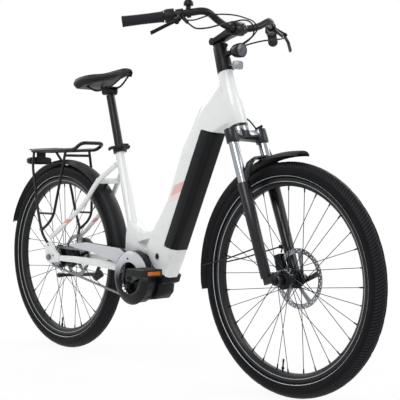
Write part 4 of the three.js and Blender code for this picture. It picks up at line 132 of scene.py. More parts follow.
half = stage["floorHalf"]
corners = [(-half, -half, 0), (half, -half, 0), (half, half, 0), (-half, half, 0)]
floorMesh = bpy.data.meshes.new("studioFloor")
floorMesh.from_pydata(corners, [], [(0, 1, 2, 3)])
floor = bpy.data.objects.new("studioFloor", floorMesh)
scene.collection.objects.link(floor)
floorPaint = bpy.data.materials.new("studioFloorPaint")
floorPaint.use_nodes = True
tree = floorPaint.node_tree
tree.nodes.clear()
matt = addNode(tree, "ShaderNodeBsdfDiffuse", None, {"Color": toLinear(stage["floor"])}).outputs[0]
glow = addNode(tree, "ShaderNodeEmission", None,
               {"Color": toLinear(stage["white"]), "Strength": 1.0}).outputs[0]
place = addNode(tree, "ShaderNodeTexCoord").outputs["Object"]
distance = addNode(tree, "ShaderNodeVectorMath", {"operation": "LENGTH"}, {0: place}).outputs["Value"]
share = addNode(tree, "ShaderNodeMapRange", {"interpolation_type": "SMOOTHSTEP"},
                {"Value": distance, "From Min": stage["shadowFrom"], "From Max": stage["shadowTo"],
                 "To Min": 1 - stage["shadowShare"], "To Max": 1.0}).outputs[0]
seen = mixShaders(tree, backgroundRays(tree), matt, mixShaders(tree, share, matt, glow))
addNode(tree, "ShaderNodeOutputMaterial", None, {"Surface": seen})
floorMesh.materials.append(floorPaint)

lamps = [  # place, size and power of each soft box
    {"place": (1.6, -3.4, 3.4), "size": 2.6, "power": 84},
    {"place": (3.6, 1.6, 2.6), "size": 2.2, "power": 45},
    {"place": (-3.2, -0.6, 3.0), "size": 2.4, "power": 45},
    {"place": (-0.4, 3.4, 3.0), "size": 2.4, "power": 54},
]
for i, lamp in enumerate(lamps):
    data = bpy.data.lights.new(f"softBox{i}", "AREA")
    data.shape = "DISK"
    data.size = lamp["size"]
    data.energy = lamp["power"]
    box = bpy.data.objects.new(f"softBox{i}", data)
    scene.collection.objects.link(box)
    box.location = lamp["place"]
    box.rotation_mode = "QUATERNION"
    box.rotation_quaternion = (Vector((0, 0, 0.5)) - box.location).to_track_quat("-Z", "Y")
print("camera, floor and lamps are set")


# Materials

def measure(tree, direction, origin=(0, 0, 0)):  # a point's distance along a direction, in millimetres
    place = addNode(tree, "ShaderNodeTexCoord").outputs["Object"]
    offset = addNode(tree, "ShaderNodeVectorMath", {"operation": "SUBTRACT"},
                     {0: place, 1: Vector(origin) * metre})
    return addNode(tree, "ShaderNodeVectorMath", {"operation": "DOT_PRODUCT"},
                   {0: offset.outputs[0], 1: Vector(direction) / metre}).outputs["Value"]


def within(tree, value, low, high):
    above = calculate(tree, "GREATER_THAN", value, low)
    below = calculate(tree, "LESS_THAN", value, high)
    return calculate(tree, "MULTIPLY", above, below)


def makeMaterial(name, look):
    material = bpy.data.materials.new(name)
    material.use_nodes = True
    tree = material.node_tree
    shader = tree.nodes["Principled BSDF"]
    shader.inputs["Metallic"].default_value = look.get("metallic", 0)
    for socket, value in look.items():
        if socket in shader.inputs:
            shader.inputs[socket].default_value = value
    place = addNode(tree, "ShaderNodeTexCoord").outputs["Object"]
    cloud = addNode(tree, "ShaderNodeTexNoise", None,
                    {"Vector": place, "Scale": 1000 / look["blotch"], "Detail": 3.0})
    dark, pale = (toLinear(code) for code in look["colours"])
    tone = addNode(tree, "ShaderNodeMix", {"data_type": "RGBA"},
                   {0: cloud.outputs["Fac"], 6: dark, 7: pale})
    tree.links.new(tone.outputs[2], shader.inputs["Base Color"])
    low, high = look["roughness"]
    grain = addNode(tree, "ShaderNodeTexNoise", None,
                    {"Vector": place, "Scale": 1000 / look["grain"], "Detail": 2.0, "Roughness": 0.6})
    half = calculate(tree, "MULTIPLY", cloud.outputs["Fac"], 0.5)
    mixed = calculate(tree, "MULTIPLY_ADD", grain.outputs["Fac"], 0.5, half)
    rough = addNode(tree, "ShaderNodeMapRange", None,
                    {"Value": mixed, "From Min": 0.3, "From Max": 0.7, "To Min": low, "To Max": high})
    tree.links.new(rough.outputs[0], shader.inputs["Roughness"])
    bump = addNode(tree, "ShaderNodeBump", None,
                   {"Height": grain.outputs["Fac"], "Strength": look.get("bump", 0.4),
                    "Distance": look["depth"] * metre})
    tree.links.new(bump.outputs[0], shader.inputs["Normal"])
    return material


def paintOver(material, mask, colours, roughness=None, metallic=None):
    tree = material.node_tree
    shader = tree.nodes["Principled BSDF"]
    changes = [("Base Color", toLinear(colours), True)]
    if roughness is not None:
        changes.append(("Roughness", roughness, False))
    if metallic is not None:
        changes.append(("Metallic", metallic, False))
    for socket, value, isColour in changes:
        entry = shader.inputs[socket]
        under = entry.links[0].from_socket if entry.links else entry.default_value
        if isColour:
            mix = addNode(tree, "ShaderNodeMix", {"data_type": "RGBA"}, {0: mask, 6: under, 7: value})
            tree.links.new(mix.outputs[2], entry)
        else:
            mix = addNode(tree, "ShaderNodeMix", None, {0: mask, 2: under, 3: value})
            tree.links.new(mix.outputs[0], entry)


looks = {  # blotch, grain and depth are the patches' size, the grain's size and its height in millimetres
    # Baked pearl enamel on welded alloy: a clear gloss coat over a pale, slightly mottled white
    "pearlEnamel": {"colours": ("#d9dbda", "#e0e1e0"), "roughness": (0.24, 0.34), "Coat Weight": 0.4,
        "Coat Roughness": 0.08, "blotch": 60, "grain": 0.9, "depth": 0.006},
    # Satin powder coat on bent alloy tube: an even black skin with a fine orange peel
    "satinPowderCoat": {"colours": ("#0b0c0e", "#131416"), "roughness": (0.26, 0.4),
        "Specular IOR Level": 0.24, "blotch": 30, "grain": 1.1, "depth": 0.03},
    # Injection-moulded polypropylene: dull, with a fine spark-eroded grain
    "mouldedPolypropylene": {"colours": ("#121315", "#1a1b1d"), "roughness": (0.4, 0.56),
        "Specular IOR Level": 0.2, "blotch": 45, "grain": 0.8, "depth": 0.05},
    # Satin ABS of the battery case, moulded and lightly textured
    "satinAbs": {"colours": ("#0d0e10", "#121315"), "roughness": (0.3, 0.42), "Specular IOR Level": 0.14,
        "blotch": 50, "grain": 0.6, "depth": 0.02},
    # Wet paint on cast magnesium fork legs: deep black under a clear coat
    "wetPaint": {"colours": ("#0e0e13", "#16161c"), "roughness": (0.22, 0.3), "Specular IOR Level": 0.2,
        "Coat Weight": 0.25, "Coat Roughness": 0.1, "blotch": 50, "grain": 1.4, "depth": 0.01},
    # Dark paint on a die-cast motor case: a soft satin sheen
    "darkCastPaint": {"colours": ("#0a0b0d", "#101114"), "roughness": (0.28, 0.4),
        "Specular IOR Level": 0.14, "blotch": 35, "grain": 0.5, "depth": 0.02},
    # Vulcanised tyre rubber: matt, with faint mould lines and dust
    "tyreRubber": {"colours": ("#08080a", "#0f0f12"), "roughness": (0.4, 0.58), "Specular IOR Level": 0.1,
        "blotch": 25, "grain": 1.2, "depth": 0.08},
    # Woven reflective tape vulcanised into the side wall
    "reflectiveTape": {"colours": ("#9da1a6", "#b4b8bc"), "roughness": (0.35, 0.5), "metallic": 0.3,
        "blotch": 20, "grain": 0.7, "depth": 0.02},
    # Soft moulded grip rubber
    "gripRubber": {"colours": ("#17181c", "#212228"), "roughness": (0.6, 0.78), "Specular IOR Level": 0.2,
        "blotch": 15, "grain": 0.9, "depth": 0.1},
    # Hose jacket, extruded thermoplastic
    "hoseJacket": {"colours": ("#0f0f11", "#161618"), "roughness": (0.34, 0.44),
        "Specular IOR Level": 0.2, "blotch": 20, "grain": 0.7, "depth": 0.02},
    # Hard chrome on ground steel tube: a bright, nearly clean mirror
    "hardChrome": {"colours": ("#8f9297", "#a7aaaf"), "roughness": (0.08, 0.14), "metallic": 1.0,
        "blotch": 40, "grain": 2.0, "depth": 0.002},
    # Stainless disc steel, ground: grey with a fine haze
    "groundSteel": {"colours": ("#85888d", "#999ca0"), "roughness": (0.24, 0.36), "metallic": 1.0,
        "blotch": 12, "grain": 0.7, "depth": 0.01},
    # Oiled chain steel: bright plates with slick patches
    "oiledSteel": {"colours": ("#6c6e72", "#9a9ca0"), "roughness": (0.26, 0.4), "metallic": 1.0,
        "blotch": 9, "grain": 1.0, "depth": 0.01},
    # Black anodised aluminium, turned: a silky dark metal
    "blackAnodised": {"colours": ("#17181b", "#202226"), "roughness": (0.26, 0.38), "metallic": 0.7,
        "Specular IOR Level": 0.25, "blotch": 25, "grain": 0.6, "depth": 0.01},
    # Rim flange: a bright metal-grey ring beside the tyre under a clear lacquer, a painted highlight of the
    # light on the rim's edge
    "rimEdgeHighlight": {"colours": ("#8f9398", "#aeb1b5"), "roughness": (0.26, 0.38), "metallic": 0.8,
        "blotch": 18, "grain": 0.8, "depth": 0.01},
    # Zinc-plated screws
    "zincPlate": {"colours": ("#6f7276", "#85888c"), "roughness": (0.25, 0.4), "metallic": 1.0,
        "blotch": 4, "grain": 0.5, "depth": 0.01},
    # Chain guard of moulded plastic: a pale silver that is a painted reflection of the light from above
    "guardPaintedReflection": {"colours": ("#b9bbbf", "#c6c8cb"), "roughness": (0.26, 0.36), "metallic": 0.1,
        "Specular IOR Level": 0.2, "blotch": 50, "grain": 0.6, "depth": 0.01},
    # Red acrylic lens: deep and glossy, ribbed inside
    "redAcrylic": {"colours": ("#2c070b", "#470b11"), "roughness": (0.1, 0.18), "Specular IOR Level": 0.3,
        "Coat Weight": 0.3, "Coat Roughness": 0.05, "blotch": 12, "grain": 2.5, "depth": 0.05},
    # Clear acrylic lens over a faceted reflector: its dark and light patches behind the gloss are painted
    # reflections
    "lensPaintedReflections": {"colours": ("#070708", "#64696f"), "roughness": (0.06, 0.12), "Coat Weight": 0.25,
        "Coat Roughness": 0.03, "Specular IOR Level": 0.3, "blotch": 9, "grain": 3.0, "depth": 0.2},
    # Moulded prism reflector, colourless: grey where it throws the light away
    "whitePrism": {"colours": ("#6e7276", "#93979b"), "roughness": (0.14, 0.24), "Coat Weight": 0.4,
        "Coat Roughness": 0.05, "blotch": 3, "grain": 2.2, "depth": 0.3},
    # Moulded prism reflector, amber
    "amberPrism": {"colours": ("#b8560f", "#dd7a22"), "roughness": (0.14, 0.24), "Coat Weight": 0.3,
        "Coat Roughness": 0.05, "blotch": 3, "grain": 2.2, "depth": 0.3},
    # Saddle cover: embossed coated fabric with a leather grain
    "saddleCover": {"colours": ("#101013", "#1a1a1e"), "roughness": (0.42, 0.56),
        "Specular IOR Level": 0.25, "Sheen Weight": 0.04, "Sheen Roughness": 0.5, "blotch": 18,
        "grain": 1.6, "depth": 0.22, "bump": 0.6},
    # Sewing thread
    "seamThread": {"colours": ("#222225", "#2e2e31"), "roughness": (0.6, 0.75), "Specular IOR Level": 0.2,
        "blotch": 5, "grain": 0.8, "depth": 0.1},
    # Signal-red moulded mark
    "redPlastic": {"colours": ("#961c26", "#ab2630"), "roughness": (0.3, 0.42), "blotch": 10,
        "grain": 0.6, "depth": 0.02},
}
finishes = {name: makeMaterial(name, look) for name, look in looks.items()}
print("materials are mixed")


# Places shared by the pieces

frameSizes = {
    "rearAxle": (-573.49, 0, 346),
    "frontAxle": (573.49, 0, 346),
    "bottomBracket": (-92.99, 0, 304),
    "headTop": (304.01, 0, 972),
    "tubeFoot": (40.01, 0, 420),
    "steerTilt": 19,
    "downTubeSlope": 64.2,
    "axleUp": -679.63,
    "forkRake": 51,
}
rearAxle, frontAxle = Vector(frameSizes["rearAxle"]), Vector(frameSizes["frontAxle"])
bottomBracket, headTop = Vector(frameSizes["bottomBracket"]), Vector(frameSizes["headTop"])
tubeFoot = Vector(frameSizes["tubeFoot"])
tilt, slope = radians(frameSizes["steerTilt"]), radians(frameSizes["downTubeSlope"])
steerAhead = Vector((cos(tilt), 0, sin(tilt)))
steerUp = Vector((-sin(tilt), 0, cos(tilt)))
tubeUp = Vector((cos(slope), 0, sin(slope)))
tubeOut = Vector((sin(slope), 0, -cos(slope)))
sideways, upright = Vector((0, 1, 0)), Vector((0, 0, 1))


def onSteer(ahead, up, side=0):
    return headTop + steerAhead * ahead + steerUp * up + Vector((0, side, 0))


def spots(base, size, shares, side=1):  # places round a base, as shares of a size
    return [Vector((base.x + x * size, base.y + side * y * size, base.z + z * size)) for x, y, z in shares]


def mirrored(place):
    return Vector((place.x, -place.y, place.z))


# Finishes that change over their piece

def variedFinish(name, look):  # a finish of its own for paint to go over, and its nodes
    finishes[name] = makeMaterial(name, looks[look])
    return finishes[name], finishes[name].node_tree


def normalPart(tree, output, axis):
    normal = addNode(tree, "ShaderNodeNewGeometry").outputs[output]
    return addNode(tree, "ShaderNodeSeparateXYZ", None, {0: normal}).outputs[axis]


stripes = {  # painted bands on the shell and the stays, in millimetres
    "shell": "#dcaaa6",
    "pale": "#e2cdca",
    "stay": "#d99c93",
    "lean": 0.95,
    "band": (163, 203),
    "paleBand": (138, 161),
    "out": (-35, 7),
    "side": 30,
    "stayBand": (477, 492),
}
enamel, tree = variedFinish("frameEnamel", "pearlEnamel")
out = measure(tree, tubeOut, tubeFoot)
aside = calculate(tree, "ABSOLUTE", measure(tree, sideways))
lean = calculate(tree, "MULTIPLY", calculate(tree, "SUBTRACT", out, stripes["out"][0]), stripes["lean"])
leaning = calculate(tree, "SUBTRACT", measure(tree, tubeUp, tubeFoot), lean)
onSides = calculate(tree, "GREATER_THAN", aside, stripes["side"])
onShell = calculate(tree, "MULTIPLY", within(tree, out, *stripes["out"]), onSides)
for key, colour in (("band", "shell"), ("paleBand", "pale")):
    mask = calculate(tree, "MULTIPLY", within(tree, leaning, *stripes[key]), onShell)
    paintOver(enamel, mask, stripes[colour])

stayPaint, tree = variedFinish("stayEnamel", "pearlEnamel")
paintOver(stayPaint, within(tree, measure(tree, upright), *stripes["stayBand"]), stripes["stay"])

# Tyre: a slanting pattern of lighter marks across the tread, a painted sheen of the light on the tread
# blocks, drawn coarse enough to show
treadSheen = {"radius": 330, "lines": 220, "slant": 0.42, "share": 0.3, "paintedSheen": "#26262b"}
rubber, tree = variedFinish("tyreTread", "tyreRubber")
x, y, z = (measure(tree, way) for way in ((1, 0, 0), (0, 1, 0), (0, 0, 1)))
squares = [calculate(tree, "MULTIPLY", part, part) for part in (x, z)]
reach = calculate(tree, "SQRT", calculate(tree, "ADD", *squares))
turned = calculate(tree, "MULTIPLY", calculate(tree, "ARCTAN2", z, x), treadSheen["lines"])
slant = calculate(tree, "MULTIPLY", calculate(tree, "ABSOLUTE", y), treadSheen["slant"])
slanted = calculate(tree, "ADD", turned, slant)
paintedSheen = calculate(tree, "GREATER_THAN", calculate(tree, "SINE", slanted), treadSheen["share"])
onTread = calculate(tree, "GREATER_THAN", reach, treadSheen["radius"])
paintOver(rubber, calculate(tree, "MULTIPLY", paintedSheen, onTread), treadSheen["paintedSheen"])

# Fork: the crown and steerer are painted, and below the crown the stanchions are hard chromed.
# The forged bridge between the sockets gets a painted highlight: its upper side is painted as polished grey
# metal.
crown = {"foot": -241.5, "colour": "#101114", "roughness": 0.3, "metallic": 0.3}
bridge = {"side": 47, "up": (-219, -186), "facing": 0.25, "colour": "#8d9095", "roughness": 0.22,
          "metallic": 0.9}
forkMetal, tree = variedFinish("forkUpperMetal", "hardChrome")
up = measure(tree, steerUp, headTop)
aside = calculate(tree, "ABSOLUTE", measure(tree, sideways))
crownMask = calculate(tree, "GREATER_THAN", up, crown["foot"])
paintOver(forkMetal, crownMask, crown["colour"], crown["roughness"], crown["metallic"])
onBridge = calculate(tree, "MULTIPLY", within(tree, up, *bridge["up"]),
                     calculate(tree, "LESS_THAN", aside, bridge["side"]))
highlightFaces = calculate(tree, "GREATER_THAN", normalPart(tree, "Normal", 2), bridge["facing"])
paintOver(forkMetal, calculate(tree, "MULTIPLY", onBridge, highlightFaces), bridge["colour"], bridge["roughness"],
          bridge["metallic"])

# Chain guard: its silver face is a painted reflection of the light from above, and painted shade darkens it
# towards the foot of its disc; its edges are black
guardPaintedShade = {"bright": 66, "dark": -12, "foot": "#0f1013", "edge": "#121315", "edgeFacing": -0.72,
              "edgeRoughness": 0.36}
guardCoat, tree = variedFinish("guardPaintedLight", "guardPaintedReflection")
fade = addNode(tree, "ShaderNodeMapRange", {"interpolation_type": "SMOOTHSTEP"},
               {"Value": measure(tree, upright, (0, 0, bottomBracket.z)), "From Min": guardPaintedShade["bright"],
                "From Max": guardPaintedShade["dark"]}).outputs[0]
paintOver(guardCoat, fade, guardPaintedShade["foot"], None, 0.0)
onEdge = calculate(tree, "GREATER_THAN", normalPart(tree, "True Normal", 1), guardPaintedShade["edgeFacing"])
paintOver(guardCoat, onEdge, guardPaintedShade["edge"], guardPaintedShade["edgeRoughness"], 0.0)

# Cranks: the outermost faces are machined bright
crankFace = {"side": 98.2, "colour": "#7d8085", "roughness": 0.28, "metallic": 0.9}
crankCoat, tree = variedFinish("crankPaint", "satinPowderCoat")
aside = calculate(tree, "ABSOLUTE", measure(tree, sideways))
paintOver(crankCoat, calculate(tree, "GREATER_THAN", aside, crankFace["side"]), crankFace["colour"],
          crankFace["roughness"], crankFace["metallic"])


# Shapes: each is a pair of points in millimetres and faces

def placed(shape, turn=None, move=(0, 0, 0)):
    turn = turn or Matrix.Identity(3)
    return [turn @ Vector(p) + Vector(move) for p in shape[0]], shape[1]


def facing(direction):  # the turn that aims a shape made on the Y axis
    return sideways.rotation_difference(Vector(direction).normalized()).to_matrix()


def ringPoint(radius, y, turn):  # on a circle round the Y axis
    return Vector((radius * sin(turn), y, radius * cos(turn)))


def skin(rings):  # joins closed rows of points that have the same count
    count = len(rings[0])
    points = [Vector(p) for ring in rings for p in ring]
    faces = []
    for row in range(len(rings) - 1):
        for i in range(count):
            a, b = row * count + i, row * count + (i + 1) % count
            faces.append((a, b, b + count, a + count))
    faces.append(tuple(reversed(range(count))))
    faces.append(tuple(range((len(rings) - 1) * count, len(rings) * count)))
    return points, faces


def lathe(profile, segments=48, closed=False, change=None):  # turns radius and place pairs about the Y axis
    rows = []
    for i in range(segments):
        turn = 2 * pi * i / segments
        reaches = [r + (change(k, i) if change else 0) for k, (r, y) in enumerate(profile)]
        rows.append([ringPoint(reach, y, turn) for reach, (r, y) in zip(reaches, profile)])
    count = len(profile)
    points = [p for row in rows for p in row]
    faces = []
    for i in range(segments):
        for k in range(count if closed else count - 1):
            a, b = i * count + k, i * count + (k + 1) % count
            c, d = ((i + 1) % segments) * count + (k + 1) % count, ((i + 1) % segments) * count + k
            faces.append((a, b, c, d))
    if not closed:
        for k in (0, count - 1):
            if profile[k][0] > 0:
                faces.append(tuple(i * count + k for i in range(segments)))
    return points, faces


def tube(path, radius, sides=14, radii=None):  # sweeps a circle along a path
    path = [Vector(p) for p in path]
    ahead = (path[1] - path[0]).normalized()
    side = ahead.cross(upright)
    if side.length < 0.1:
        side = ahead.cross(sideways)
    side.normalize()
    rings = []
    for i, here in enumerate(path):
        before, after = path[max(i - 1, 0)], path[min(i + 1, len(path) - 1)]
        along = (after - before).normalized()
        side = (side - along * side.dot(along)).normalized()
        up = side.cross(along)
        wide = radii[i] if radii else radius
        rings.append([here + (side * cos(t) + up * sin(t)) * wide
                      for t in (2 * pi * k / sides for k in range(sides))])
    return skin(rings)


def rounded(points, bend, steps=8):  # replaces each inner corner of a line by a curve
    points = [Vector(p) for p in points]
    line = [points[0]]
    for before, corner, after in zip(points, points[1:], points[2:]):
        reach = min(bend, (before - corner).length * 0.45, (after - corner).length * 0.45)
        start = corner + (before - corner).normalized() * reach
        end = corner + (after - corner).normalized() * reach
        for i in range(steps + 1):
            t = i / steps
            line.append(start * (1 - t) ** 2 + corner * 2 * t * (1 - t) + end * t ** 2)
    line.append(points[-1])
    return line


def flowing(points, steps=8):  # a smooth line through every point
    points = [Vector(p) for p in points]
    padded = [points[0] * 2 - points[1]] + points + [points[-1] * 2 - points[-2]]
    line = []
    for a, b, c, d in zip(padded, padded[1:], padded[2:], padded[3:]):
        gaps = [max((q - p).length, 1e-6) ** 0.5 for p, q in ((a, b), (b, c), (c, d))]
        m1 = ((b - a) / gaps[0] - (c - a) / (gaps[0] + gaps[1]) + (c - b) / gaps[1]) * gaps[1]
        m2 = ((c - b) / gaps[1] - (d - b) / (gaps[1] + gaps[2]) + (d - c) / gaps[2]) * gaps[1]
        for i in range(steps):
            t = i / steps
            line.append(b * (2 * t ** 3 - 3 * t ** 2 + 1) + m1 * (t ** 3 - 2 * t ** 2 + t)
                        + c * (-2 * t ** 3 + 3 * t ** 2) + m2 * (t ** 3 - t ** 2))
    return line + [points[-1]]


def prism(outline, low, high):  # an X and Z outline between two places on Y
    front = [Vector((x, low, z)) for x, z in outline]
    back = [Vector((x, high, z)) for x, z in outline]
    return skin([front, back])


def block(size, centre=(0, 0, 0), turn=None):
    x, y, z = (s / 2 for s in size)
    corners = [Vector((a * x, b * y, c * z)) for a in (-1, 1) for b in (-1, 1) for c in (-1, 1)]
    sides = [(0, 1, 3, 2), (4, 6, 7, 5), (0, 4, 5, 1), (2, 3, 7, 6), (0, 2, 6, 4), (1, 5, 7, 3)]
    return placed((corners, sides), turn, centre)


def circle(radius, count, middle=(0, 0)):
    turns = [2 * pi * i / count for i in range(count)]
    return [(middle[0] + radius * cos(t), middle[1] + radius * sin(t)) for t in turns]


def plate(outlines, low, high):  # a flat X and Z plate with holes, filled by a curve
    data = bpy.data.curves.new("outline", "CURVE")
    data.dimensions = "2D"
    data.fill_mode = "BOTH"
    data.extrude = (high - low) / 2
    for outline in outlines:
        spline = data.splines.new("POLY")
        spline.points.add(len(outline) - 1)
        for point, (x, z) in zip(spline.points, outline):
            point.co = (x, z, 0, 1)
        spline.use_cyclic_u = True
    holder = bpy.data.objects.new("outline", data)
    scene.collection.objects.link(holder)
    bpy.context.view_layer.update()
    mesh = holder.evaluated_get(bpy.context.evaluated_depsgraph_get()).to_mesh()
    middle = (low + high) / 2
    points = [Vector((v.co.x, middle - v.co.z, v.co.y)) for v in mesh.vertices]
    faces = [tuple(p.vertices) for p in mesh.polygons]
    bpy.data.objects.remove(holder)
    bpy.data.curves.remove(data)
    return points, faces


screwShape = {  # shares of the head's radius and height, and how deep it is sunk in millimetres
    "count": 24,
    "sunk": 0.5,
    "shoulder": 0.8,
    "crown": 0.86,
    "socket": (0.52, 0.5),
    "socketFloor": 0.3,
}


def screw(place, direction, radius, rise, socket=True):  # a cap screw head with a hexagon socket
    count = screwShape["count"]

    def hexagon(reach):
        turns = [radians((i * 360 / count) % 60 - 30) for i in range(count)]
        return [reach * cos(pi / 6) / cos(t) for t in turns]

    levels = [([radius] * count, -screwShape["sunk"]), ([radius] * count, rise * screwShape["shoulder"]),
              ([radius * screwShape["crown"]] * count, rise)]
    if socket:
        mouth, base = (hexagon(radius * share) for share in screwShape["socket"])
        levels += [(mouth, rise), (base, rise * screwShape["socketFloor"])]
    rings = [[ringPoint(r, y, 2 * pi * i / count) for i, r in enumerate(row)] for row, y in levels]
    return placed(skin(rings), facing(direction), place)


edgeLimit = 38  # degrees between two faces at which their edge is crisp and gets rounded
flatLimit = 0.6  # degrees under which two faces of a solid count as one
weldDistance = 0.00002  # metres


def meshPiece(name, shapes, body, materials, replaced=(), origin=(0, 0, 0), sharp=35, bevel=0,
              slots=()):
    mesh = bpy.data.meshes.new(name)
    points, faces, marks = [], [], []
    for k, shape in enumerate(shapes):
        first = len(points)
        points += [Vector(p) * metre for p in shape[0]]
        faces += [tuple(first + i for i in face) for face in shape[1]]
        marks += [slots[k] if k < len(slots) else 0] * len(shape[1])
    mesh.from_pydata(points, [], faces)
    mesh.polygons.foreach_set("material_index", marks)
    work = bmesh.new()
    work.from_mesh(mesh)
    bmesh.ops.remove_doubles(work, verts=work.verts, dist=weldDistance)
    bmesh.ops.dissolve_degenerate(work, edges=work.edges, dist=weldDistance / 2)
    bmesh.ops.recalc_face_normals(work, faces=work.faces)
    limit = radians(sharp)
    for face in work.faces:
        face.smooth = True
    for edge in work.edges:
        if len(edge.link_faces) == 2 and edge.calc_face_angle(0) > limit:
            edge.smooth = False
    work.to_mesh(mesh)
    work.free()
    piece = bpy.data.objects.new(name, mesh)
    piece.location = Vector(origin) * metre
    scene.collection.objects.link(piece)
    for material in [materials] if isinstance(materials, str) else materials:
        mesh.materials.append(finishes[material])
    if bevel:
        roundEdges(piece, bevel)
    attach(piece, body)
    if replaced:
        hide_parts(*replaced)
    return piece


def smoothGroup():  # shades smooth and keeps edges above the limit crisp
    tree = bpy.data.node_groups.new("smoothByAngle", "GeometryNodeTree")
    tree.interface.new_socket("Geometry", in_out="INPUT", socket_type="NodeSocketGeometry")
    tree.interface.new_socket("Geometry", in_out="OUTPUT", socket_type="NodeSocketGeometry")
    given = addNode(tree, "NodeGroupInput")
    smooth = addNode(tree, "GeometryNodeSetShadeSmooth", {"domain": "FACE"},
                     {"Geometry": given.outputs[0], "Shade Smooth": True})
    angle = addNode(tree, "GeometryNodeInputMeshEdgeAngle")
    steep = addNode(tree, "FunctionNodeCompare", {"data_type": "FLOAT", "operation": "GREATER_THAN"},
                    {0: angle.outputs[0], 1: radians(edgeLimit)})
    crisp = addNode(tree, "GeometryNodeSetShadeSmooth", {"domain": "EDGE"},
                    {"Geometry": smooth.outputs[0], "Selection": steep.outputs[0], "Shade Smooth": False})
    addNode(tree, "NodeGroupOutput", None, {0: crisp.outputs[0]})
    return tree


smoothing = smoothGroup()


def roundEdges(piece, width):
    weld = piece.modifiers.new("weld", "WELD")
    weld.merge_threshold = weldDistance
    flat = piece.modifiers.new("flat", "DECIMATE")
    flat.decimate_type = "DISSOLVE"
    flat.angle_limit = radians(flatLimit)
    if width:
        bevel = piece.modifiers.new("rounded", "BEVEL")
        bevel.width = width * metre
        bevel.segments = 2
        bevel.limit_method = "ANGLE"
        bevel.angle_limit = radians(edgeLimit)
        bevel.miter_outer = "MITER_ARC"
    smooth = piece.modifiers.new("smooth", "NODES")
    smooth.node_group = smoothing


# Hoses and cable, along the same points as the solids

hoses = {  # body at the start, body at the end, radius, points
    "frontBrakeHose": ("steering", "lowers", 2.5, [
        (357, 30.5, 830), (361, 45, 822), (364, 66, 803), (372, 84, 778), (394, 92, 742), (424, 91, 690),
        (449, 83.4, 590), (462, 80, 500), (477, 74, 440), (488, 56, 418)]),
    "rightBarHose": ("cockpit", "steering", 2.5, [
        (356, -205, 1098), (385, -200, 1080), (400, -170, 1082), (400, -120, 1096), (397, -60, 1112),
        (395, -10, 1123), (388, 25, 1120), (378, 48, 1106), (366, 56, 1086), (345, 42, 1066),
        (322, 22, 1050), (310, 15.5, 1045.5)]),
    "leftBarHose": ("cockpit", "steering", 2.5, [
        (356, 205, 1098), (378, 175, 1086), (382, 130, 1078), (374, 85, 1070), (350, 48, 1058),
        (325, 22, 1046), (310, 15.5, 1043.5)]),
    "shiftCable": ("cockpit", "steering", 2.2, [
        (322, -188, 1112), (346, -170, 1112), (374, -142, 1124), (388, -110, 1130), (396, -54, 1133),
        (392, 0, 1130), (383, 44, 1124), (376, 66, 1106), (352, 52, 1072), (326, 28, 1050),
        (310, 17, 1046.5)]),
}


def hosePiece(name, shape):
    mesh = bpy.data.meshes.new(name)
    mesh.from_pydata([p * metre for p in shape[0]], [], shape[1])
    for polygon in mesh.polygons:
        polygon.use_smooth = len(polygon.vertices) == 4
    mesh.materials.append(finishes["hoseJacket"])
    piece = bpy.data.objects.new(name, mesh)
    scene.collection.objects.link(piece)
    return piece


hoseLengths = {}
for name, (first, last, radius, points) in hoses.items():
    line = flowing(points, 10)
    piece = hosePiece(name, tube(line, radius, 10))
    length = sum((b - a).length for a, b in zip(line, line[1:])) * metre
    hoseLengths[name] = round(length, 4)
    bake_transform(piece)
    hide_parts("front_brake_hose" if name == "frontBrakeHose" else "bar_hoses")
grommet = {
    "lean": 30,
    "up": 66,
    "profile": [(7.3, 19), (6.9, 27), (7.4, 28), (7.0, 31), (6.2, 35), (5.0, 35.2)],
}
lean = radians(grommet["lean"])
outwards = (steerAhead * cos(lean) + steerUp * sin(lean)).normalized()
ring = placed(lathe(grommet["profile"], 32), facing(outwards), onSteer(0, grommet["up"]))
meshPiece("cableGrommet", [ring], "steering", "gripRubber")
print("hoses", hoseLengths)


# Wheels

wheel = {
    "tyreRadius": 346,
    "tyreWidth": 54,
    "segments": 240,
    "turns": (126, 122, 118, 111, 110, 103, 96, 88, 87, 78, 68, 60, 55, 54.5, 45, 44.5, 35, 26, 25.5, 16,
              15.5, 7),  # degrees from the tread's middle, where the tyre's section has a corner
    "treadTurn": 60,
    "treadDepth": 1.2,
    "blockSteps": 6,
    "grooves": (44.5, 25.5, 15.5),
    "ridges": {110: 0.5, 88: 0.45},
    "sideInset": 0.5,
    "tape": {126, 122},
    "bead": [(299.6, 14.1), (291.8, 14.1), (291.8, 10.1), (311, 16.1), (342, 0), (311, -16.1),
             (291.8, -10.1), (291.8, -14.1), (299.6, -14.1)],
    "rim": [(299, 15.2), (299, 14.6), (298, 14.4), (291.5, 14.4), (277, 4), (277, -4), (291.5, -14.4),
            (298, -14.4), (299, -14.6), (299, -15.2), (298.2, -16), (289, -16), (287, -15.6), (275.2, -7.6),
            (274, -6), (274, 6), (275.2, 7.6), (287, 15.6), (289, 16), (298.2, 16)],
    # the flange faces carry the rim's painted highlight
    "flange": (11, 18),  # the rim's outer side faces between the bead and the inner slope
    "valve": [(3, 238), (3, 246), (2.6, 246.5), (2.6, 262), (4.6, 262.5), (4.6, 267), (3.2, 269),
              (3.2, 274.5)],
    "cap": 13,  # radii of the hub's ends and of the disc's seat
    "discSeat": 17,
    "discShoulder": 21,
    "spokesPerSide": 16,
    "spokeRadius": 1.1,
    "spokeEnd": (273.4, 3.8, 1.1),  # radius, place on the axis and the shift of every second one
    "spokeStart": (4, 2.6),  # depth in the flange and shift
    "crossing": 3,
    "nipple": [(0, 2.6), (3, 2.4), (12, 2.0), (13, 1.3)],
    "discScrews": (19.5, 2.4, 1.8),  # circle, head radius and rise
    "magnet": (150, 12, 40),
}


def parted(points, faces, width, strip):  # one lathe as two shapes, with the strip's rows in the second
    bright = [face for n, face in enumerate(faces) if n % width in strip]
    rest = [face for n, face in enumerate(faces) if n % width not in strip]
    return [(points, rest), (points, bright)]


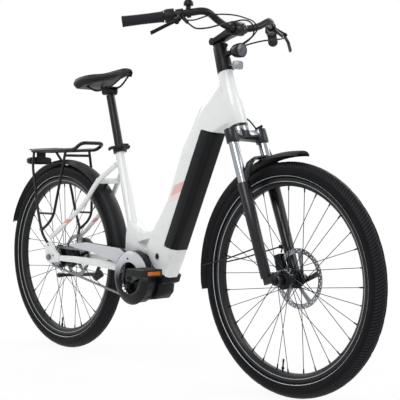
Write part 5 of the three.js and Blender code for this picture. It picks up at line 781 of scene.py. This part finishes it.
def tyreShapes():
    middle, outer = wheel["tyreRadius"] - wheel["tyreWidth"] / 2, wheel["tyreWidth"] / 2
    turns = [-t for t in wheel["turns"]] + list(reversed(wheel["turns"]))
    profile = []
    for turn in turns:
        lift = wheel["ridges"].get(abs(turn), 0)
        reach = outer - wheel["sideInset"] + lift if abs(turn) > wheel["treadTurn"] else outer
        angle = radians(turn)
        profile.append((middle + reach * cos(angle), reach * sin(angle)))
    count = len(turns)

    def tread(k, i):  # blocks cut across the tread, offset from side to side
        if k >= count or abs(turns[k]) > wheel["treadTurn"]:
            return 0
        row = int((abs(turns[k]) + 4) // 10)
        shift = row * 2 + (wheel["blockSteps"] // 2 if turns[k] > 0 else 0)
        gap = (i + shift) % wheel["blockSteps"] == 0
        return -wheel["treadDepth"] if gap or abs(turns[k]) in wheel["grooves"] else 0

    points, faces = lathe(profile + wheel["bead"], wheel["segments"], closed=True, change=tread)
    strip = [k for k in range(count - 1) if {abs(turns[k]), abs(turns[k + 1])} == wheel["tape"]]
    return parted(points, faces, len(profile + wheel["bead"]), strip)


def rimShapes():
    points, faces = lathe(wheel["rim"], 96, closed=True)
    shapes = parted(points, faces, len(wheel["rim"]), wheel["flange"])
    between = pi / wheel["spokesPerSide"] / 2  # the valve stands between two spokes
    away = (sin(-between), 0, -cos(-between))
    shapes.append(placed(lathe(wheel["valve"], 16), facing(away)))
    return shapes


hubs = {
    "front": {"width": 100, "flange": 28, "spacing": 52, "shell": 16, "bore": 6.3, "rotorOffset": 41,
              "driverEnd": 38, "driver": 16, "rotor": 90, "body": "front_wheel", "place": frontAxle},
    "rear": {"width": 135, "flange": 45, "spacing": 50, "shell": 38, "bore": 5.3, "rotorOffset": 52,
             "driverEnd": 57, "driver": 17, "rotor": 80, "body": "rear_wheel", "place": rearAxle},
}


def hubShapes(hub):
    end, flange = hub["width"] / 2 - 0.3, hub["spacing"] / 2
    bore, shell, driver, wide = (hub[key] for key in ("bore", "shell", "driver", "flange"))
    face, seatEnd = hub["rotorOffset"] - 1.3, hub["rotorOffset"] + 4
    cap, seat, shoulder = wheel["cap"], wheel["discSeat"], wheel["discShoulder"]
    profile = [(bore, -end), (cap - 0.6, -end), (cap, -end + 0.6), (cap, -hub["driverEnd"]),
               (driver, -hub["driverEnd"]), (driver, -flange - 6), (wide - 6, -flange - 3),
               (wide - 0.6, -flange - 2), (wide, -flange - 1.4), (wide, -flange + 1.4),
               (wide - 0.6, -flange + 2), (shell + 1.5, -flange + 4), (shell, -flange + 6),
               (shell, flange - 6), (shell + 1.5, flange - 4), (wide - 0.6, flange - 2),
               (wide, flange - 1.4), (wide, flange + 1.4), (wide - 0.6, flange + 2),
               (shoulder, flange + 6), (shoulder, face), (seat, face), (seat, seatEnd), (cap, seatEnd),
               (cap, end), (bore, end)]
    spokes, nipples = [], []
    step = 2 * pi / wheel["spokesPerSide"]
    endRadius, endSide, endShift = wheel["spokeEnd"]
    startDepth, startShift = wheel["spokeStart"]
    for side in (-1, 1):
        for i in range(wheel["spokesPerSide"]):
            lean = 1 if i % 2 == 0 else -1
            rimTurn = (i + (side + 1) / 4) * step
            hubTurn = rimTurn + lean * wheel["crossing"] * step
            start = ringPoint(wide - startDepth, side * (flange + lean * startShift), hubTurn)
            end = ringPoint(endRadius, side * (endSide + lean * endShift), rimTurn)
            spokes.append(tube([start, end], wheel["spokeRadius"], 6))
            away = (start - end).normalized()
            line = [end + away * reach for reach, radius in wheel["nipple"]]
            nipples.append(tube(line, 0, 8, [radius for reach, radius in wheel["nipple"]]))
    return [lathe(profile, 48, closed=True)], spokes + nipples


disc = {"width": 15, "centre": 17.3, "arms": 5, "holes": 30, "hole": 2.1, "rows": (4, 9.5), "armFoot": 25,
        "thickness": 2}


def rotorShape(radius, offset):
    outlines = [circle(radius, 90), circle(disc["centre"], 32)]
    inner, foot = radius - disc["width"], disc["armFoot"]
    step = 2 * pi / disc["arms"]
    for i in range(disc["arms"]):  # the opening between two swept arms
        start = i * step
        arc = [(foot, start + 0.06), (foot, start + step * 0.32), (foot, start + step * 0.58)]
        arc += [(inner, start + step * (1.12 - 0.82 * k / 8)) for k in range(9)]
        outlines.append([(r * cos(t), r * sin(t)) for r, t in arc])
    for row, depth in enumerate(disc["rows"]):
        for i in range(disc["holes"]):
            turn = 2 * pi * (i + 0.5 * row) / disc["holes"]
            reach = radius - depth
            outlines.append(circle(disc["hole"], 8, (reach * cos(turn), reach * sin(turn))))
    return plate(outlines, offset - disc["thickness"] / 2, offset + disc["thickness"] / 2)


for end, hub in hubs.items():
    place, body = tuple(hub["place"]), hub["body"]
    # the tyre's tread carries the painted sheen
    meshPiece(f"{end}TyreCasing", tyreShapes(), body, ["tyreTread", "reflectiveTape"],
              [f"{end}_tyre"], place, 30, slots=(0, 1))
    # the rim's flange faces wear a painted highlight
    meshPiece(f"{end}RimHoop", rimShapes(), body, ["satinPowderCoat", "rimEdgeHighlight"],
              [f"{end}_rim"], place, 28, slots=(0, 1, 0))
    shell, wires = hubShapes(hub)
    meshPiece(f"{end}HubShell", shell, body, "blackAnodised", [f"{end}_hub"], place, 25)
    meshPiece(f"{end}Spokes", wires, body, "blackAnodised", (), place)
    rotor = rotorShape(hub["rotor"], hub["rotorOffset"])
    meshPiece(f"{end}BrakeDisc", [rotor], body, "groundSteel", [f"{end}_rotor"], place)
    ringReach, headRadius, rise = wheel["discScrews"]
    heads = [screw((x, hub["rotorOffset"] + 1, z), sideways, headRadius, rise)
             for x, z in circle(ringReach, 6)]
    meshPiece(f"{end}DiscScrews", heads, body, "zincPlate", (), place)
magnet = placed(lathe([(4.5, -3), (5, -2), (5, 2), (4.5, 3)], 20), None, wheel["magnet"])
meshPiece("spokeMagnet", [magnet], "rear_wheel", "mouldedPolypropylene", (),
          tuple(rearAxle))
print("wheels are built")


# Chain, with a link for every pin

chain = {
    "pitch": 12.7,
    "ringTeeth": 38,
    "sprocketTeeth": 18,
    "line": -45,
    "plateHalf": 4.2,
    "waist": 0.68,
    "samples": (240, 120),
    "innerPlates": (1.6, 2.25),
    "outerPlates": (2.35, 2.95),
    "roller": [(3.6575, -1.5), (3.85, -1.2), (3.85, 1.2), (3.6575, 1.5)],
    "pin": [(1.8, -2.98), (1.8, 2.98)],
}
ringRadius = chain["pitch"] / (2 * sin(pi / chain["ringTeeth"]))
sprocketRadius = chain["pitch"] / (2 * sin(pi / chain["sprocketTeeth"]))


def onLoop(centre, radius, turn):
    return Vector((centre.x + radius * cos(turn), 0, centre.z + radius * sin(turn)))


def chainPins():
    run = rearAxle - bottomBracket
    span = hypot(run.x, run.z)
    heading = atan2(run.z, run.x)
    opening = acos((ringRadius - sprocketRadius) / span)
    top, bottom = heading - opening, heading + opening
    wrap = bottom - top
    ringSteps, sprocketSteps = chain["samples"]
    samples = []
    for i in range(ringSteps + 1):  # round the chainring, forwards from the top
        samples.append(onLoop(bottomBracket, ringRadius, top - (2 * pi - wrap) * i / ringSteps))
    for i in range(sprocketSteps + 1):  # and round the sprocket
        samples.append(onLoop(rearAxle, sprocketRadius, bottom - wrap * i / sprocketSteps))
    samples.append(samples[0])
    total = sum((b - a).length for a, b in zip(samples, samples[1:]))
    count = 2 * round(total / chain["pitch"] / 2)
    pins, carried, step = [], 0.0, total / count
    for a, b in zip(samples, samples[1:]):
        length = (b - a).length
        while carried <= length and len(pins) < count:
            pins.append(a.lerp(b, carried / length if length else 0))
            carried += step
        carried -= length
    return pins


def linkPlate(a, b, low, high):
    along = (b - a).normalized()
    up = Vector((-along.z, 0, along.x))
    half, waist = chain["plateHalf"], chain["plateHalf"] * chain["waist"]
    turns = [i * pi / 6 for i in range(7)]
    middle = (a + b) / 2
    outline = [a + (up * cos(t) - along * sin(t)) * half for t in turns] + [middle - up * waist]
    outline += [b + (-up * cos(t) + along * sin(t)) * half for t in turns] + [middle + up * waist]
    return prism([(p.x, p.z) for p in outline], low + chain["line"], high + chain["line"])


pins = chainPins()
plates, rollers = [], []
for i, a in enumerate(pins):
    b = pins[(i + 1) % len(pins)]
    inner, outer = chain["innerPlates"] if i % 2 else chain["outerPlates"]
    plates += [linkPlate(a, b, inner, outer), linkPlate(a, b, -outer, -inner)]
    place = (a.x, chain["line"], a.z)
    for profile, segments in ((chain["roller"], 12), (chain["pin"], 8)):
        rollers.append(placed(lathe(profile, segments), None, place))
meshPiece("chainLinks", plates + rollers, "frame", "oiledSteel", ["drive_chain"])
print(f"chain of {len(pins)} links")


# Mudguards, and the seatstays that carry the rear one

seatstay = {
    "reach": 400,
    "line": [(-0.36, 0.045, 0.965), (-0.535, 0.12, 0.82), (-0.7, 0.138, 0.612), (-1.105, 0.166, 0.343),
             (-1.196, 0.17, 0.2935)],
    "bend": 60,
    "radius": 9.4,
    "taper": 1.6,
    "bridge": 10.2,
}
guards = {
    "radius": 367,
    "width": 62,
    "wall": 2.5,
    "innerWidth": 0.93,
    "edgeStart": 20,  # distance from the middle where the wall gets thinner
    "sag": 13.3,
    "section": [(-1, -2), (-0.98, 0), (-0.9, 3), (-0.75, 7.5), (-0.5, 11), (-0.25, 12.7), (0, 13.2)],
    "steps": 64,
    "tip": 0.82,  # share of the width at both ends
    "rearTurns": (160.4, 7.3),
    "frontTurns": (189, 82),
    "frontLift": 13,
    "liftedSteps": 22,
    "mount": 5,
    "rearMount": (364, 10.8),  # from the axle, and short of the stays' bridge
    "frontMount": 363,
    "archUnder": -308.04,  # underside of the fork's arch, along the steering axis
    "stay": 2.3,
    "stayBend": 26,
    "stayLine": [(-0.963, 0.078, 0.05), (-0.62, 0.112, 0.13), (-0.242, 0.152, 0.243)],
    "eye": [(5.6, -3), (6, -2.4), (6, 2.4), (5.6, 3)],
    "screwOut": 3,
    "screw": (4, 2.4),
}


def guardShape(centre, turns, lift=0):
    half, steps = guards["width"] / 2, guards["steps"]
    outer = [(x * half, z) for x, z in guards["section"]]
    outer += [(-x, z) for x, z in reversed(outer[:-1])]
    inner = []
    for x, z in reversed(outer):
        wall = guards["wall"] * (0.85 if abs(x) < guards["edgeStart"] else 0.5)
        inner.append((x * guards["innerWidth"], z - wall))
    section = [(x, z - guards["sag"]) for x, z in outer + inner]
    rings = []
    for i in range(steps + 1):
        turn = radians(turns[0] + (turns[1] - turns[0]) * i / steps)
        out = Vector((cos(turn), 0, sin(turn)))
        fade = min(1, (min(i, steps - i) + 1) / 3) ** 0.5
        width = guards["tip"] + (1 - guards["tip"]) * fade
        reach = guards["radius"] + lift * max(0, 1 - (steps - i) / guards["liftedSteps"]) ** 1.6
        rings.append([centre + out * (reach + z) + Vector((0, x * width, 0)) for x, z in section])
    return skin(rings)


headSpot, bend = spots(bottomBracket, seatstay["reach"], seatstay["line"])[:2]
toBridge = Vector((bend.x, 0, bend.z)) - rearAxle
away = toBridge.normalized()
start, short = guards["rearMount"]
line = [rearAxle + away * start, rearAxle + away * (toBridge.length - short)]
rearMount = tube(line, guards["mount"], 20)
meshPiece("rearMudguardShell", [guardShape(rearAxle, guards["rearTurns"]), rearMount], "frame",
          "mouldedPolypropylene", ["rear_mudguard"])
blockTop = onSteer(frameSizes["forkRake"], guards["archUnder"])
away = (blockTop - frontAxle).normalized()
frontShapes = [guardShape(frontAxle, guards["frontTurns"], guards["frontLift"]),
               tube([frontAxle + away * guards["frontMount"], blockTop], guards["mount"], 20)]
stayScrews = []
for side in (-1, 1):
    line = rounded(spots(frontAxle, guards["radius"], guards["stayLine"], side), guards["stayBend"], 6)
    frontShapes += [tube(line, guards["stay"], 12), placed(lathe(guards["eye"], 24), None, line[-1])]
    face = line[-1] + sideways * side * guards["screwOut"]
    stayScrews.append(screw(face, (0, side, 0), *guards["screw"]))
meshPiece("frontMudguardShell", frontShapes, "lowers", "mouldedPolypropylene",
          ["front_mudguard"])
meshPiece("mudguardStayScrews", stayScrews, "lowers", "zincPlate")
print("mudguards are built")


# Seatstays, rack and cockpit tubes

stays = []
for side in (1, -1):
    line = rounded(spots(bottomBracket, seatstay["reach"], seatstay["line"], side), seatstay["bend"], 8)
    radii = [seatstay["radius"] - seatstay["taper"] * (i / len(line)) for i in range(len(line))]
    stays.append(tube(line, 0, 20, radii))
stays.append(tube([mirrored(bend), bend], seatstay["bridge"], 24))
stays.append(tube([headSpot, mirrored(headSpot)], seatstay["radius"], 24))
meshPiece("seatstayTubes", stays, "frame", "stayEnamel", ["seatstays"])

rack = {
    "reach": 200,
    "tube": 6.6,
    "tubeBend": 34,
    "strut": 5,
    "strutBend": 30,
    "bridgeRadius": 4,
    "rail": [(0.86, 0.25, 2.12), (0.65, 0.25, 2.005), (-0.82, 0.25, 2.005)],
    "rearStrut": [(-0.7, 0.25, 2), (-0.56, 0.375, 1.71), (-0.41, 0.41, 1.28), (-0.3, 0.425, 0.845),
                  (-0.17, 0.44, 0.52), (-0.16, 0.4, 0.39), (-0.05, 0.39, 0.28)],
    "frontStrut": [(0.39, 0.265, 2), (0.37, 0.335, 1.62), (0.3, 0.39, 1.17), (0.23, 0.43, 0.795),
                   (0.09, 0.44, 0.645), (-0.15, 0.44, 0.505)],
    "bridge": [(-0.295, 0.425, 0.82), (0.23, 0.43, 0.82)],
    "cross": [(0.38, 0.27, 1.9)],
    "deck": [(-0.88, 2.02), (0, 2.05)],
    "deckSize": (98, 4.4),
    "deckSink": 0.4,
    "ribs": (-30, -10, 10, 30),
    "ribSize": (6, 1.6),
    "ribsShort": 16,
    "lampPlate": [(-0.8485, 1.79), (-0.832, 2.01)],
    "lampPlateWidth": 40,
}


def onRack(shares, side=1):
    return spots(rearAxle, rack["reach"], shares, side)


def rackShapes():
    shapes = []
    left, right = onRack(rack["rail"], 1), onRack(rack["rail"], -1)
    middle = (left[0] + right[0]) / 2
    for half in (left, right):  # each half of the hoop from the middle of its front to its back
        line = rounded([middle] + half + [Vector((half[2].x, 0, half[2].z))], rack["tubeBend"], 8)
        shapes.append(tube(line, rack["tube"], 18))
    for side in (1, -1):
        for strut in ("rearStrut", "frontStrut"):
            line = rounded(onRack(rack[strut], side), rack["strutBend"], 7)
            shapes.append(tube(line, rack["strut"], 16))
        shapes.append(tube(onRack(rack["bridge"], side), rack["bridgeRadius"], 14))
    cross = onRack(rack["cross"])[0]
    shapes.append(tube([cross, mirrored(cross)], rack["strut"], 16))
    reach = rack["reach"]
    deck, lampPlate = ([(rearAxle.x + x * reach, rearAxle.z + z * reach) for x, z in rack[key]]
                       for key in ("deck", "lampPlate"))
    (x0, z0), (x1, z1) = deck
    sink, length = rack["deckSink"], x1 - x0
    shapes.append(block((length, *rack["deckSize"]), ((x0 + x1) / 2, 0, (z0 + z1) / 2 - sink)))
    for y in rack["ribs"]:  # pressed along the deck
        shapes.append(block((length - rack["ribsShort"], *rack["ribSize"]), ((x0 + x1) / 2, y, z1 - sink)))
    (x0, z0), (x1, z1) = lampPlate
    shapes.append(block((x1 - x0, rack["lampPlateWidth"], z1 - z0), ((x0 + x1) / 2, 0, (z0 + z1) / 2)))
    return shapes


meshPiece("rackFrame", rackShapes(), "frame", "satinPowderCoat", ["rear_rack"])

cockpit = {
    "centre": (88, 108),
    "barReach": 320,
    "bar": [(0, 0.12, 0.006), (0.03, 0.27, 0.04), (0.035, 0.43, 0.125), (-0.228, 0.725, 0.0625),
            (-0.478, 1.01, 0.016)],
    "barRadius": 11.1,
    "barBend": 40,
    "swell": [(11.1, -40), (12.4, -38), (15.9, -26), (15.9, 26), (12.4, 38), (11.1, 40)],
    "gripStart": [(11.5, 0.0), (17.2, 0.2), (17.9, 1.4), (17.9, 3.4), (16.4, 4.6)],
    "gripEnd": [(16.6, -4), (16.9, -2), (16.4, -0.3), (15.2, 0), (0, 0)],
    "gripRadius": 15.9,
    "gripWaist": 0.9,
    "gripRings": 28,
    "ringsFrom": 5,
    "ringsShort": 12,
    "ring": (1.1, 0.5, 0.55),  # half width at the foot, half width at the top and height
    "gripPast": 3,
}


def gripProfile(length):
    profile, rings = list(cockpit["gripStart"]), cockpit["gripRings"]
    foot, top, rise = cockpit["ring"]
    for i in range(1, rings):  # fine rings round the middle of the grip
        at = cockpit["ringsFrom"] + (length - cockpit["ringsShort"]) * i / rings
        base = cockpit["gripRadius"] - cockpit["gripWaist"] * sin(pi * i / rings)
        profile += [(base, at - foot), (base + rise, at - top), (base + rise, at + top), (base, at + foot)]
    return profile + [(radius, length + at) for radius, at in cockpit["gripEnd"]]


barCentre = onSteer(*cockpit["centre"])
barLeft, barRight = (spots(barCentre, cockpit["barReach"], cockpit["bar"], side) for side in (1, -1))
barShapes = [tube(rounded(barRight[::-1] + barLeft, cockpit["barBend"], 8), cockpit["barRadius"], 24),
             placed(lathe(cockpit["swell"], 32), None, barCentre)]
meshPiece("handlebarTube", barShapes, "cockpit", "satinPowderCoat", ["handlebar"])
for word, ends in (("left", barLeft), ("right", barRight)):
    start, end = ends[3], ends[4]
    profile = gripProfile((end - start).length + cockpit["gripPast"])
    grip = placed(lathe(profile, 40), facing(end - start), start)
    meshPiece(f"gripRubber{word.capitalize()}", [grip], "cockpit", "gripRubber", [f"grip_{word}"],
              sharp=50)
print("stays, rack and handlebar are built")


# Saddle

saddle = {
    "clamp": (-296.22, 953.11),
    "reach": 255,
    "tilt": 9,
    "rings": [(-0.515, 0.13, 0.245), (-0.5, 0.235, 0.27), (-0.44, 0.285, 0.29), (-0.32, 0.285, 0.297),
              (-0.18, 0.235, 0.285), (-0.05, 0.155, 0.262), (0.12, 0.105, 0.246), (0.3, 0.09, 0.238),
              (0.42, 0.082, 0.228), (0.475, 0.056, 0.205)],  # place along, half width and height, as shares
    "tailRings": ((0.012, 0.55), (0.0115, 0.3), (0.008, 0.12)),
    "noseRings": ((0.012, 0.1), (0.02, 0.3), (0.024, 0.55)),
    "around": 56,
    "widest": 0.35,  # share of the height at which a section is widest
    "square": 0.72,
    "dome": 0.82,
    "baseUp": (0.135, 7.3),
    "channelDepth": 4.5,
    "channelWidth": 11,
    "tailDrop": 13,
    "noseDrop": 17,
    "seam": 0.9,
    "seamSteps": (5, 22),
    "seamLift": 0.4,
    "piping": 1.6,
    "pipingSteps": (55, 29),
    "pipingLift": 1.5,
}


def clipped(value):  # kept between nothing and the whole
    return max(0.0, min(1.0, value))


def onSaddle(ahead, side, up):  # ahead of the clamp along the tilted saddle
    turn = radians(saddle["tilt"])
    x0, z0 = saddle["clamp"]
    return Vector((x0 + ahead * cos(turn) - up * sin(turn), side,
                   z0 + ahead * sin(turn) + up * cos(turn)))


def saddleRing(along, wide, high, inset=0.0):
    reach = saddle["reach"]
    tail = clipped(min((-0.1 - along) / 0.3, (along + 0.525) / 0.09))
    nose = clipped(min((along - 0.25) / 0.2, (0.53 - along) / 0.09))
    baseTop = saddle["baseUp"][0] * reach + saddle["baseUp"][1]
    floorHeight = baseTop - saddle["tailDrop"] * tail - saddle["noseDrop"] * nose
    top, half = high * reach, wide * reach
    middle = floorHeight + (top - floorHeight) * saddle["widest"]
    ring = []
    for i in range(saddle["around"]):
        turn = 2 * pi * (i + 0.5) / saddle["around"]
        rise = max(sin(turn), -0.5)
        across = copysign(abs(cos(turn)) ** saddle["square"], cos(turn))
        y = half * across * (1 if rise >= 0 else 1 - 0.1 * (-rise * 2) ** 1.5)
        if rise > 0:
            z = middle + (top - middle) * rise ** saddle["dome"]
            rest = clipped((0.3 - along) / 0.3) * clipped((along + 0.47) / 0.12)
            z -= saddle["channelDepth"] * rest * exp(-(y / saddle["channelWidth"]) ** 2) * rise
        else:
            z = middle + (middle - floorHeight) * rise / 0.5
            inward = clipped((0.8 - abs(cos(turn))) / 0.14)
            z += (baseTop - floorHeight) * inward if rise <= -0.5 else 0  # the skirt hangs round the base
        centre = (top + floorHeight) / 2
        ring.append(onSaddle(along * reach, y * (1 - inset), centre + (z - centre) * (1 - inset)))
    return ring


def saddleShape():
    line = flowing([Vector(r) for r in saddle["rings"]], 6)
    rings = [saddleRing(*p) for p in line]
    first, last = line[0], line[-1]
    back = [saddleRing(first.x - d, first.y, first.z, inset) for d, inset in saddle["tailRings"]]
    nose = [saddleRing(last.x + d, last.y, last.z, inset) for d, inset in saddle["noseRings"]]
    return skin(back + rings + nose), rings


padShape, padRings = saddleShape()
pad = meshPiece("saddlePadCover", [padShape], "post", ["saddleCover"], ["saddle_pad"], sharp=75)
subdivide = pad.modifiers.new("subdivide", "SUBSURF")
subdivide.levels = subdivide.render_levels = 1
seams = []
lift = saddle["seamLift"]
for step in saddle["seamSteps"]:  # a raised seam along each shoulder
    line = [ring[step] + Vector((0, copysign(lift, ring[step].y), lift)) for ring in padRings[4:-3]]
    seams.append(tube(line, saddle["seam"], 8))
meshPiece("saddleSeams", seams, "post", "seamThread")
piping = []
for step in saddle["pipingSteps"]:
    line = [ring[step] + upright * saddle["pipingLift"] for ring in padRings[1:-1]]
    piping.append(tube(line, saddle["piping"], 8))
meshPiece("saddleEdgePiping", piping, "post", "mouldedPolypropylene")

# The clamp: a cradle on the post, a plate over the rails and two bolts through both
clamp = {
    "cradle": [(-17, 1), (-15, -8), (-9, -14), (9, -14), (15, -8), (17, 1)],
    "cradleHalf": 24,
    "plate": (32, 56, 5),
    "plateUp": 11.5,
    "core": (12, 34, 16),
    "coreUp": 3,
    "jaw": (13, 22, 5, 6),  # half length, side, height and radius
    "bolts": (10, 13.5, 4, 2.4),  # place ahead, height, head radius and rise
}
saddleTurn = Matrix.Rotation(-radians(saddle["tilt"]), 3, "Y")
cradle = prism(clamp["cradle"], -clamp["cradleHalf"], clamp["cradleHalf"])
clampShapes = [placed(cradle, saddleTurn, onSaddle(0, 0, 0))]
for key in ("plate", "core"):
    clampShapes.append(block(clamp[key], onSaddle(0, 0, clamp[f"{key}Up"]), saddleTurn))
half, aside, high, radius = clamp["jaw"]
for side in (-1, 1):
    clampShapes.append(tube([onSaddle(x, side * aside, high) for x in (-half, half)], radius, 14))
meshPiece("saddleClampPlates", clampShapes, "post", "blackAnodised", ["saddle_clamp"],
          bevel=0.8)
ahead, high, radius, rise = clamp["bolts"]
up = onSaddle(0, 0, 1) - onSaddle(0, 0, 0)
bolts = [screw(onSaddle(x, 0, high), up, radius, rise) for x in (-ahead, ahead)]
meshPiece("saddleClampBolts", bolts, "post", "zincPlate")
print("saddle is sewn")


# Small fasteners, one piece for each body

def fasteners(name, body, size, heads, material="zincPlate"):
    shapes = [screw(Vector(place), direction, *size) for place, direction in heads]
    meshPiece(name, shapes, body, material)


def outside(centre, y, offsets, sides=(-1, 1)):  # places on the outer faces, pointing outwards
    return [((centre.x + x, side * y, centre.z + z), (0, side, 0)) for side in sides for x, z in offsets]


motorSpots = ((-50, 40), (-50, -30), (10, -60), (74, -46), (110, 6), (55, 45), (-5, 75))
fasteners("motorScrews", "frame", (4.2, 2.2), outside(bottomBracket, 50, motorSpots, (1,)))
guardCircle = 66
guardSpots = [(guardCircle * cos(t), guardCircle * sin(t)) for t in (-0.75, 0.5, 1.63)]
fasteners("guardScrews", "frame", (3.6, 1.6), outside(bottomBracket, 75.6, guardSpots, (-1,)),
          "blackAnodised")
fasteners("rackScrews", "frame", (4, 2.4), outside(rearAxle, 92, ((-34, 104), (-30, 101))))
fasteners("dropoutScrews", "frame", (3.4, 2), outside(rearAxle, 74.6, ((26, 8), (-8, 44))))
stemPlate = {"pivot": -10, "face": 20.4, "half": (12, 7.6)}
stemAlong = (barCentre - onSteer(stemPlate["pivot"], cockpit["centre"][1])).normalized()
stemNormal = stemAlong.cross(sideways)
face = barCentre + stemAlong * stemPlate["face"]
aside, high = stemPlate["half"]
fasteners("stemScrews", "cockpit", (3, 2.2),
          [(face + stemNormal * up + sideways * side * aside, stemAlong)
           for side in (-1, 1) for up in (-high, high)])
fasteners("crankScrews", "cranks", (9.5, 2.6), outside(bottomBracket, 74.6, ((0, 0),)), "blackAnodised")
fasteners("frontCaliperScrews", "lowers", (3.4, 2.2),
          [(onSteer(ahead, frameSizes["axleUp"] + up, 53), sideways) for ahead, up in ((-11, 49), (1, 83))])
fasteners("rearCaliperScrews", "frame", (3.4, 2.2), outside(rearAxle, 66, ((52, 53), (80, 37)), (1,)))
stand = {"pivot": (-394.01, 84, -32), "axis": (0, 0.897, 0.4426), "reach": 18.2}
standAxis = Vector(stand["axis"])
standPivot = Vector((bottomBracket.x, 0, bottomBracket.z)) + Vector(stand["pivot"])
fasteners("standScrew", "stand", (6, 3), [(standPivot + standAxis * stand["reach"], standAxis)])
print("fasteners are set")


# Pedal reflectors and small marks

pedal = {
    "crank": 170,
    "turn": 12,
    "side": 141,
    "reflector": (1.6, 52, 12),
    "reflectorAhead": 48.6,
    "studs": ((-36, 36), (-32, 0, 32)),
    "studSize": (1.8, 1.4),
    "half": 11,
}
for side, word in ((-1, "right"), (1, "left")):
    turn = radians(pedal["turn"])
    reach = -side * pedal["crank"]
    centre = bottomBracket + Vector((reach * cos(turn), side * pedal["side"], reach * sin(turn)))
    ahead = Vector((pedal["reflectorAhead"], 0, 0))
    cells = [block(pedal["reflector"], centre + ahead * end) for end in (-1, 1)]
    meshPiece(f"pedalReflectors{word.capitalize()}", cells, f"{word}_pedal", "amberPrism",
              bevel=0.5)
    rows, columns = pedal["studs"]
    studs = [screw(centre + Vector((x, y, s * pedal["half"])), (0, 0, s), *pedal["studSize"], socket=False)
             for s in (-1, 1) for x in rows for y in columns]
    meshPiece(f"pedalStuds{word.capitalize()}", studs, f"{word}_pedal", "zincPlate")
markShape = {"radius": 21.2, "along": 14.5, "start": -150, "step": 7, "count": 12, "width": 1.3}
turns = [radians(markShape["start"] + markShape["step"] * i) for i in range(markShape["count"])]
arc = [ringPoint(markShape["radius"], markShape["along"], t) for t in turns]
mark = placed(tube(arc, markShape["width"], 8), facing(barRight[2] - barRight[3]), barRight[3])
meshPiece("shifterMark", [mark], "shifter", "redPlastic")


# The solids that show get their finishes and rounded edges

dressing = {  # finish: the edge radius in millimetres of each node that wears it
    "frameEnamel": {"main_frame": 1.6},
    "pearlEnamel": {"chainstays": 1.2},
    "satinAbs": {"battery_pack": 1.6},
    "gripRubber": {"charge_port_cover": 0},
    "darkCastPaint": {"motor_housing": 2.5},
    # the chain guard's finish carries a painted reflection and painted shade
    "guardPaintedLight": {"chain_guard": 0.6},
    "blackAnodised": {"chainring": 0.3, "front_axle": 0.5, "front_brake_caliper": 1.4,
        "rear_brake_caliper": 1.4, "brake_lever_left": 1.0, "brake_lever_right": 1.0, "bell_dome": 0.6},
    "groundSteel": {"rear_sprocket": 0.3},
    "crankPaint": {"crankset": 1.4},
    "mouldedPolypropylene": {"pedal_right": 1.0, "pedal_left": 1.0, "lockout_knob": 0.8,
        "tail_light_housing": 0.8, "saddle_base": 0, "twist_shifter": 0.6, "control_pod": 1.2,
        "bell_clamp": 0.6},
    "zincPlate": {"rear_axle": 0.5},
    # the fork crown's bridge carries a painted highlight
    "forkUpperMetal": {"fork_upper": 1.2},
    "wetPaint": {"fork_lowers": 1.6},
    "satinPowderCoat": {"stem_spacer": 0.8, "stem_base": 0.8, "stem_arm": 1.6, "headlamp_housing": 0.8,
        "seat_clamp_collar": 0.8, "seat_clamp_lever": 0.6, "seatpost": 0.6, "kickstand_bracket": 1.0,
        "kickstand_leg": 1.2, "lever_clamp_left": 1.0, "lever_clamp_right": 1.0},
    "whitePrism": {"front_reflector": 0.6},
    # the headlamp lens carries painted reflections
    "lensPaintedReflections": {"headlamp_lens": 0},
    "redAcrylic": {"tail_light_lens": 0.8},
}
for finish, edges in dressing.items():
    for name, width in edges.items():
        node = nodes[name]
        if node.material_slots:
            for entry in node.material_slots:
                entry.material = finishes[finish]
        else:
            node.data.materials.append(finishes[finish])
        roundEdges(node, width)
print(f"solids are dressed in {len(dressing)} finishes")
